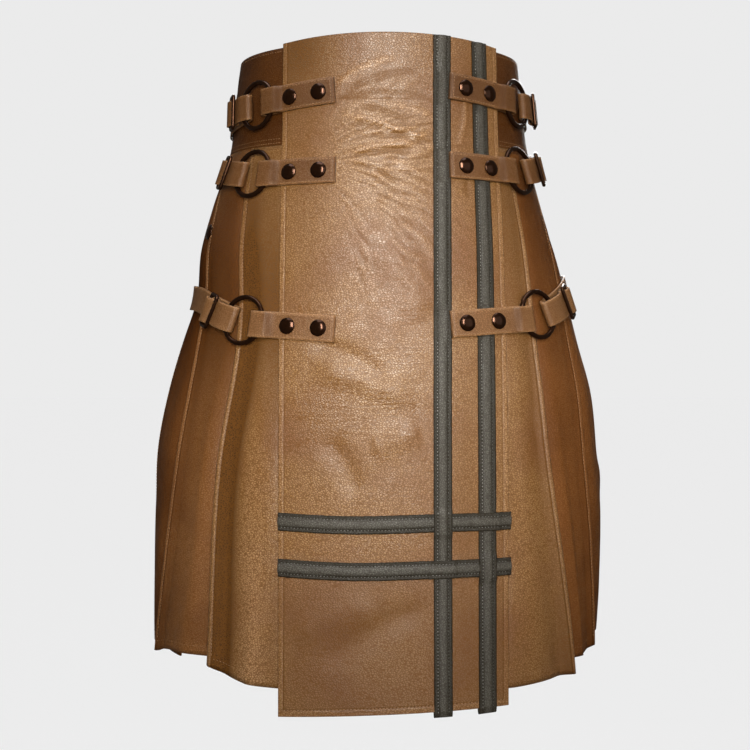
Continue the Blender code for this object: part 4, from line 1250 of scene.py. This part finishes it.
def stitchRow(thread, side, distance, height, out):
    # even places along the row, with the direction of the run and the outward at each
    line = placeFrom(side, distance, height, out)
    run = np.concatenate([[0], np.cumsum(np.linalg.norm(np.diff(line, axis=0), axis=1))])
    at = np.arange(thread["pitch"] / 2, run[-1], thread["pitch"])
    pick = lambda values, shift=0.0: np.stack([np.interp(at + shift, run, column) for column in values.T], 1)
    lifted = placeFrom(side, distance, height, out + 0.001)
    return pick(line), unit(pick(line, 0.0004) - pick(line, -0.0004)), unit(pick(lifted - line))


def makeStitches(name, rows, finish, kind="fine"):
    # every stitch is a five sided capsule: rings at four places, a point at each end
    thread = threads[kind]
    centre, along, outward = (np.vstack(part) for part in zip(*[stitchRow(thread, *row) for row in rows]))
    across = unit(np.cross(outward, along))
    share, thick = np.array(stitchRings).T
    circle = ellipse(fullTurn(5), across[:, None, :], outward[:, None, :])
    base = centre - outward * thread["sink"]
    rings = base[:, None, None, :] + (share * thread["length"])[None, :, None, None] * along[:, None, None, :]
    rings = rings + (thick * thread["radius"])[None, :, None, None] * circle[:, None, :, :]
    tips = base[:, None, :] + np.array([-0.5, 0.5])[None, :, None] * thread["length"] * along[:, None, :]
    points = np.concatenate([rings.reshape(len(centre), 20, 3), tips], 1)
    ends = np.vstack([capFaces(0, 5, 20, True), capFaces(15, 5, 21)])
    shift = (np.arange(len(centre)) * 22)[:, None, None]
    faces = (gridFaces(4, 5, True)[None, :, ::-1] + shift).reshape(-1, 4).tolist()
    faces += (ends[None] + shift).reshape(-1, 3).tolist()
    addMesh(name, points, faces, finish, [])
    print(name, len(centre), "stitches")


def apronRow(distance, height):
    # on the outer face of the creased apron
    lift = apronLift(distance, height) + cut["leather"] / 2
    return "right", distance, height, apronOut(height) + lift


def yokeRow(side, height):
    # level, on the yoke's outer face
    start, before = sewing["yoke"]
    distance = np.linspace(start, halfRound(cut["seam"]) - before, 300)
    return side, distance, height, yoke["out"] + cut["yokeWall"] / 2


def foldRow(side, number):
    # beside a fold, on the pleat's outer face
    below, end = sewing["folds"]
    level = np.linspace(cut["pleatTop"] - below, end, 260)
    return side, foldLine(side, number, level) - pleat["stitched"], level, crestOut(level)


def tapeRows(name):
    # both stitch rows of a tape, on its outer face
    if name in uprights:
        middle = tape["middle"][name]
        below, past = sewing["uprights"]
        at = np.linspace(apronTop(middle) - below, apronHem(middle) - past, 400)
    else:
        at = np.linspace(-apron["left"] + sewing["levels"], apron["right"] - sewing["levels"], 260)
    rows = []
    for share in (-tape["row"], tape["row"]):
        distance, height = tapeLine(name, at, share)
        out = apronOut(height) + tape["clear"] + cut["tapeWall"] / 2 + overLift(name, at) + tapeCrown(share)
        rows.append(("right", distance, height, out + apronLift(distance, height)))
    return rows


def tabRows(row):
    # along both edges of the tab, and across its end
    past, before, edge = sewing["tabSides"]
    stop = (hardware["tabRejoin"] + before) / stretchAt(*row["ringSpot"], hardware["ringOut"])
    distance = np.linspace(row["tabEnd"] + past, row["ring"] - stop, 60)
    out = row["top"] + 0 * distance
    edges = zip(*ribbonPoints(row, (distance, out), tabHeight, np.array([-edge, edge])))
    past, edge = sewing["tabEnd"]
    start = np.array([row["tabEnd"] + past])
    end = ribbonPoints(row, (start, out[:1]), tabHeight, np.linspace(-edge, edge, 12))
    return [(row["side"], *line) for line in (*edges, [values[:, 0] for values in end])]


down = np.linspace(*sewing["apronSides"], 400)
inset = apron["edgeBand"] - sewing["inBand"]
fromSide, aboveHem = sewing["apronHem"]
acrossHem = np.linspace(-apron["left"] + fromSide, apron["right"] - fromSide, 200)
rows = [apronRow(edge + 0 * down, down) for edge in (-apron["left"] + inset, apron["right"] - inset)]
rows.append(apronRow(acrossHem, apronHem(acrossHem) + aboveHem))
makeStitches("apronStitches", rows, "tanThread")
makeStitches("pleatStitches", [foldRow(*which) for which in everyPleat], "tanThread")
makeStitches("hemStitches", hemRows, "tanThread")
yokeHeights = [cut["seam"] + up for up in sewing["aboveSeam"]] + [yoke["top"] - sewing["belowTop"]]
rows = [yokeRow(side, height) for side in sides for height in yokeHeights]
makeStitches("yokeStitches", rows, "tanThread")
rows = [line for name in uprights + levels for line in tapeRows(name)]
makeStitches("tapeStitches", rows, "greyThread", "tape")
rows = [line for row in strapRows for line in tabRows(row)]
makeStitches("tabStitches", rows, "tanThread")


studio = {
    "floor": -2.60,
    "reach": 30.0,
    "floorTone": (0.905, 0.914, 0.929),
    "backdrop": (0.83, 0.83, 0.83),      # what the camera sees past the floor
    "room": (0.120, 0.110, 0.096),       # what lights the kilt from all round
    "overhead": {"strength": 2.50, "spread": 50},
    "lens": 56.0,
    "camera": (-0.003, -1.18, -0.249),
    "tilt": math.atan(65 / 1167),
}
lamps = {
    "key": {"at": (0.02, -1.45, -0.08), "aim": -0.21, "size": (0.60, 0.60), "power": 5.0, "spread": 60},
    "sheen": {"at": (0.08, -1.40, 0.36), "aim": -0.16, "size": (0.30, 0.90), "power": 39, "spread": 180,
              "colour": (1.0, 0.960, 0.86)},
    "fill": {"at": (1.00, -1.00, 0.10), "aim": -0.28, "size": (1.20, 1.20), "power": 4, "spread": 180},
    "back": {"at": (0.20, 1.60, 0.50), "aim": -0.28, "size": (1.20, 1.20), "power": 11, "spread": 80},
}


def addFloor():
    # one wide level square
    mesh = bpy.data.meshes.new("floor")
    far, low = studio["reach"], studio["floor"]
    corners = [(-far, -far, low), (far, -far, low), (far, far, low), (-far, far, low)]
    mesh.from_pydata(corners, [], [(0, 1, 2, 3)])
    material, _, shader = newMaterial("paleFloor")
    feed(shader, {"Base Color": (*studio["floorTone"], 1.0), "Roughness": 1.0, "Specular IOR Level": 0.0})
    mesh.materials.append(material)
    floor = putInScene("floor", mesh)
    floor.visible_diffuse = False      # it is seen and shadowed, and throws no light back up
    floor.visible_glossy = False


def addLight(name, look):
    # a lamp turned from its place towards a point on the kilt's upright axis
    light = bpy.data.lights.new(name, "AREA")
    light.energy = look["power"]
    light.color = look.get("colour", (1.0, 1.0, 1.0))
    light.shape = "RECTANGLE"
    light.size, light.size_y = look["size"]
    light.spread = math.radians(look["spread"])
    lamp = putInScene(name, light)
    lamp.location = look["at"]
    aim = np.array((0.0, 0.0, look["aim"])) - np.array(look["at"])
    yaw = math.atan2(aim[0], -aim[1])
    lamp.rotation_euler = (math.atan2(float(np.hypot(aim[0], aim[1])), -aim[2]), 0.0, yaw + math.pi)
    lamp.visible_diffuse = name != "sheen"      # the tall one only gives the leather its sheen
    lamp.visible_glossy = name != "key"


def addOverhead():
    # a wide soft sun straight down keeps the floor as pale as the backdrop
    light = bpy.data.lights.new("overhead", "SUN")
    light.energy = studio["overhead"]["strength"]
    light.angle = math.radians(studio["overhead"]["spread"])
    putInScene("overhead", light)


def addRoom():
    # the backdrop is pale, the room that lights the kilt is dimmer
    world = bpy.data.worlds.new("paleRoom")
    bpy.context.scene.world = world
    world.use_nodes = True
    tree = world.node_tree
    room = tree.nodes["Background"]
    feed(room, {"Color": (*studio["room"], 1.0)})
    seen = addNode(tree, "Background", "Background", {"Color": (*studio["backdrop"], 1.0)})
    cameraRay = addNode(tree, "LightPath", "Is Camera Ray")
    mixed = addNode(tree, "MixShader", "Shader", {"Fac": cameraRay, 1: room.outputs["Background"], 2: seen})
    feed(tree.nodes["World Output"], {"Surface": mixed})


addFloor()
for name, look in lamps.items():
    addLight(name, look)
addOverhead()
addRoom()
bpy.context.scene.view_settings.view_transform = "Standard"

view = bpy.data.cameras.new("view")
view.lens = studio["lens"]
view.sensor_width = 36.0
camera = putInScene("view", view)
camera.location = studio["camera"]
camera.rotation_euler = (math.pi / 2 - studio["tilt"], 0.0, 0.0)
bpy.context.scene.camera = camera
print("floor, light and camera placed")
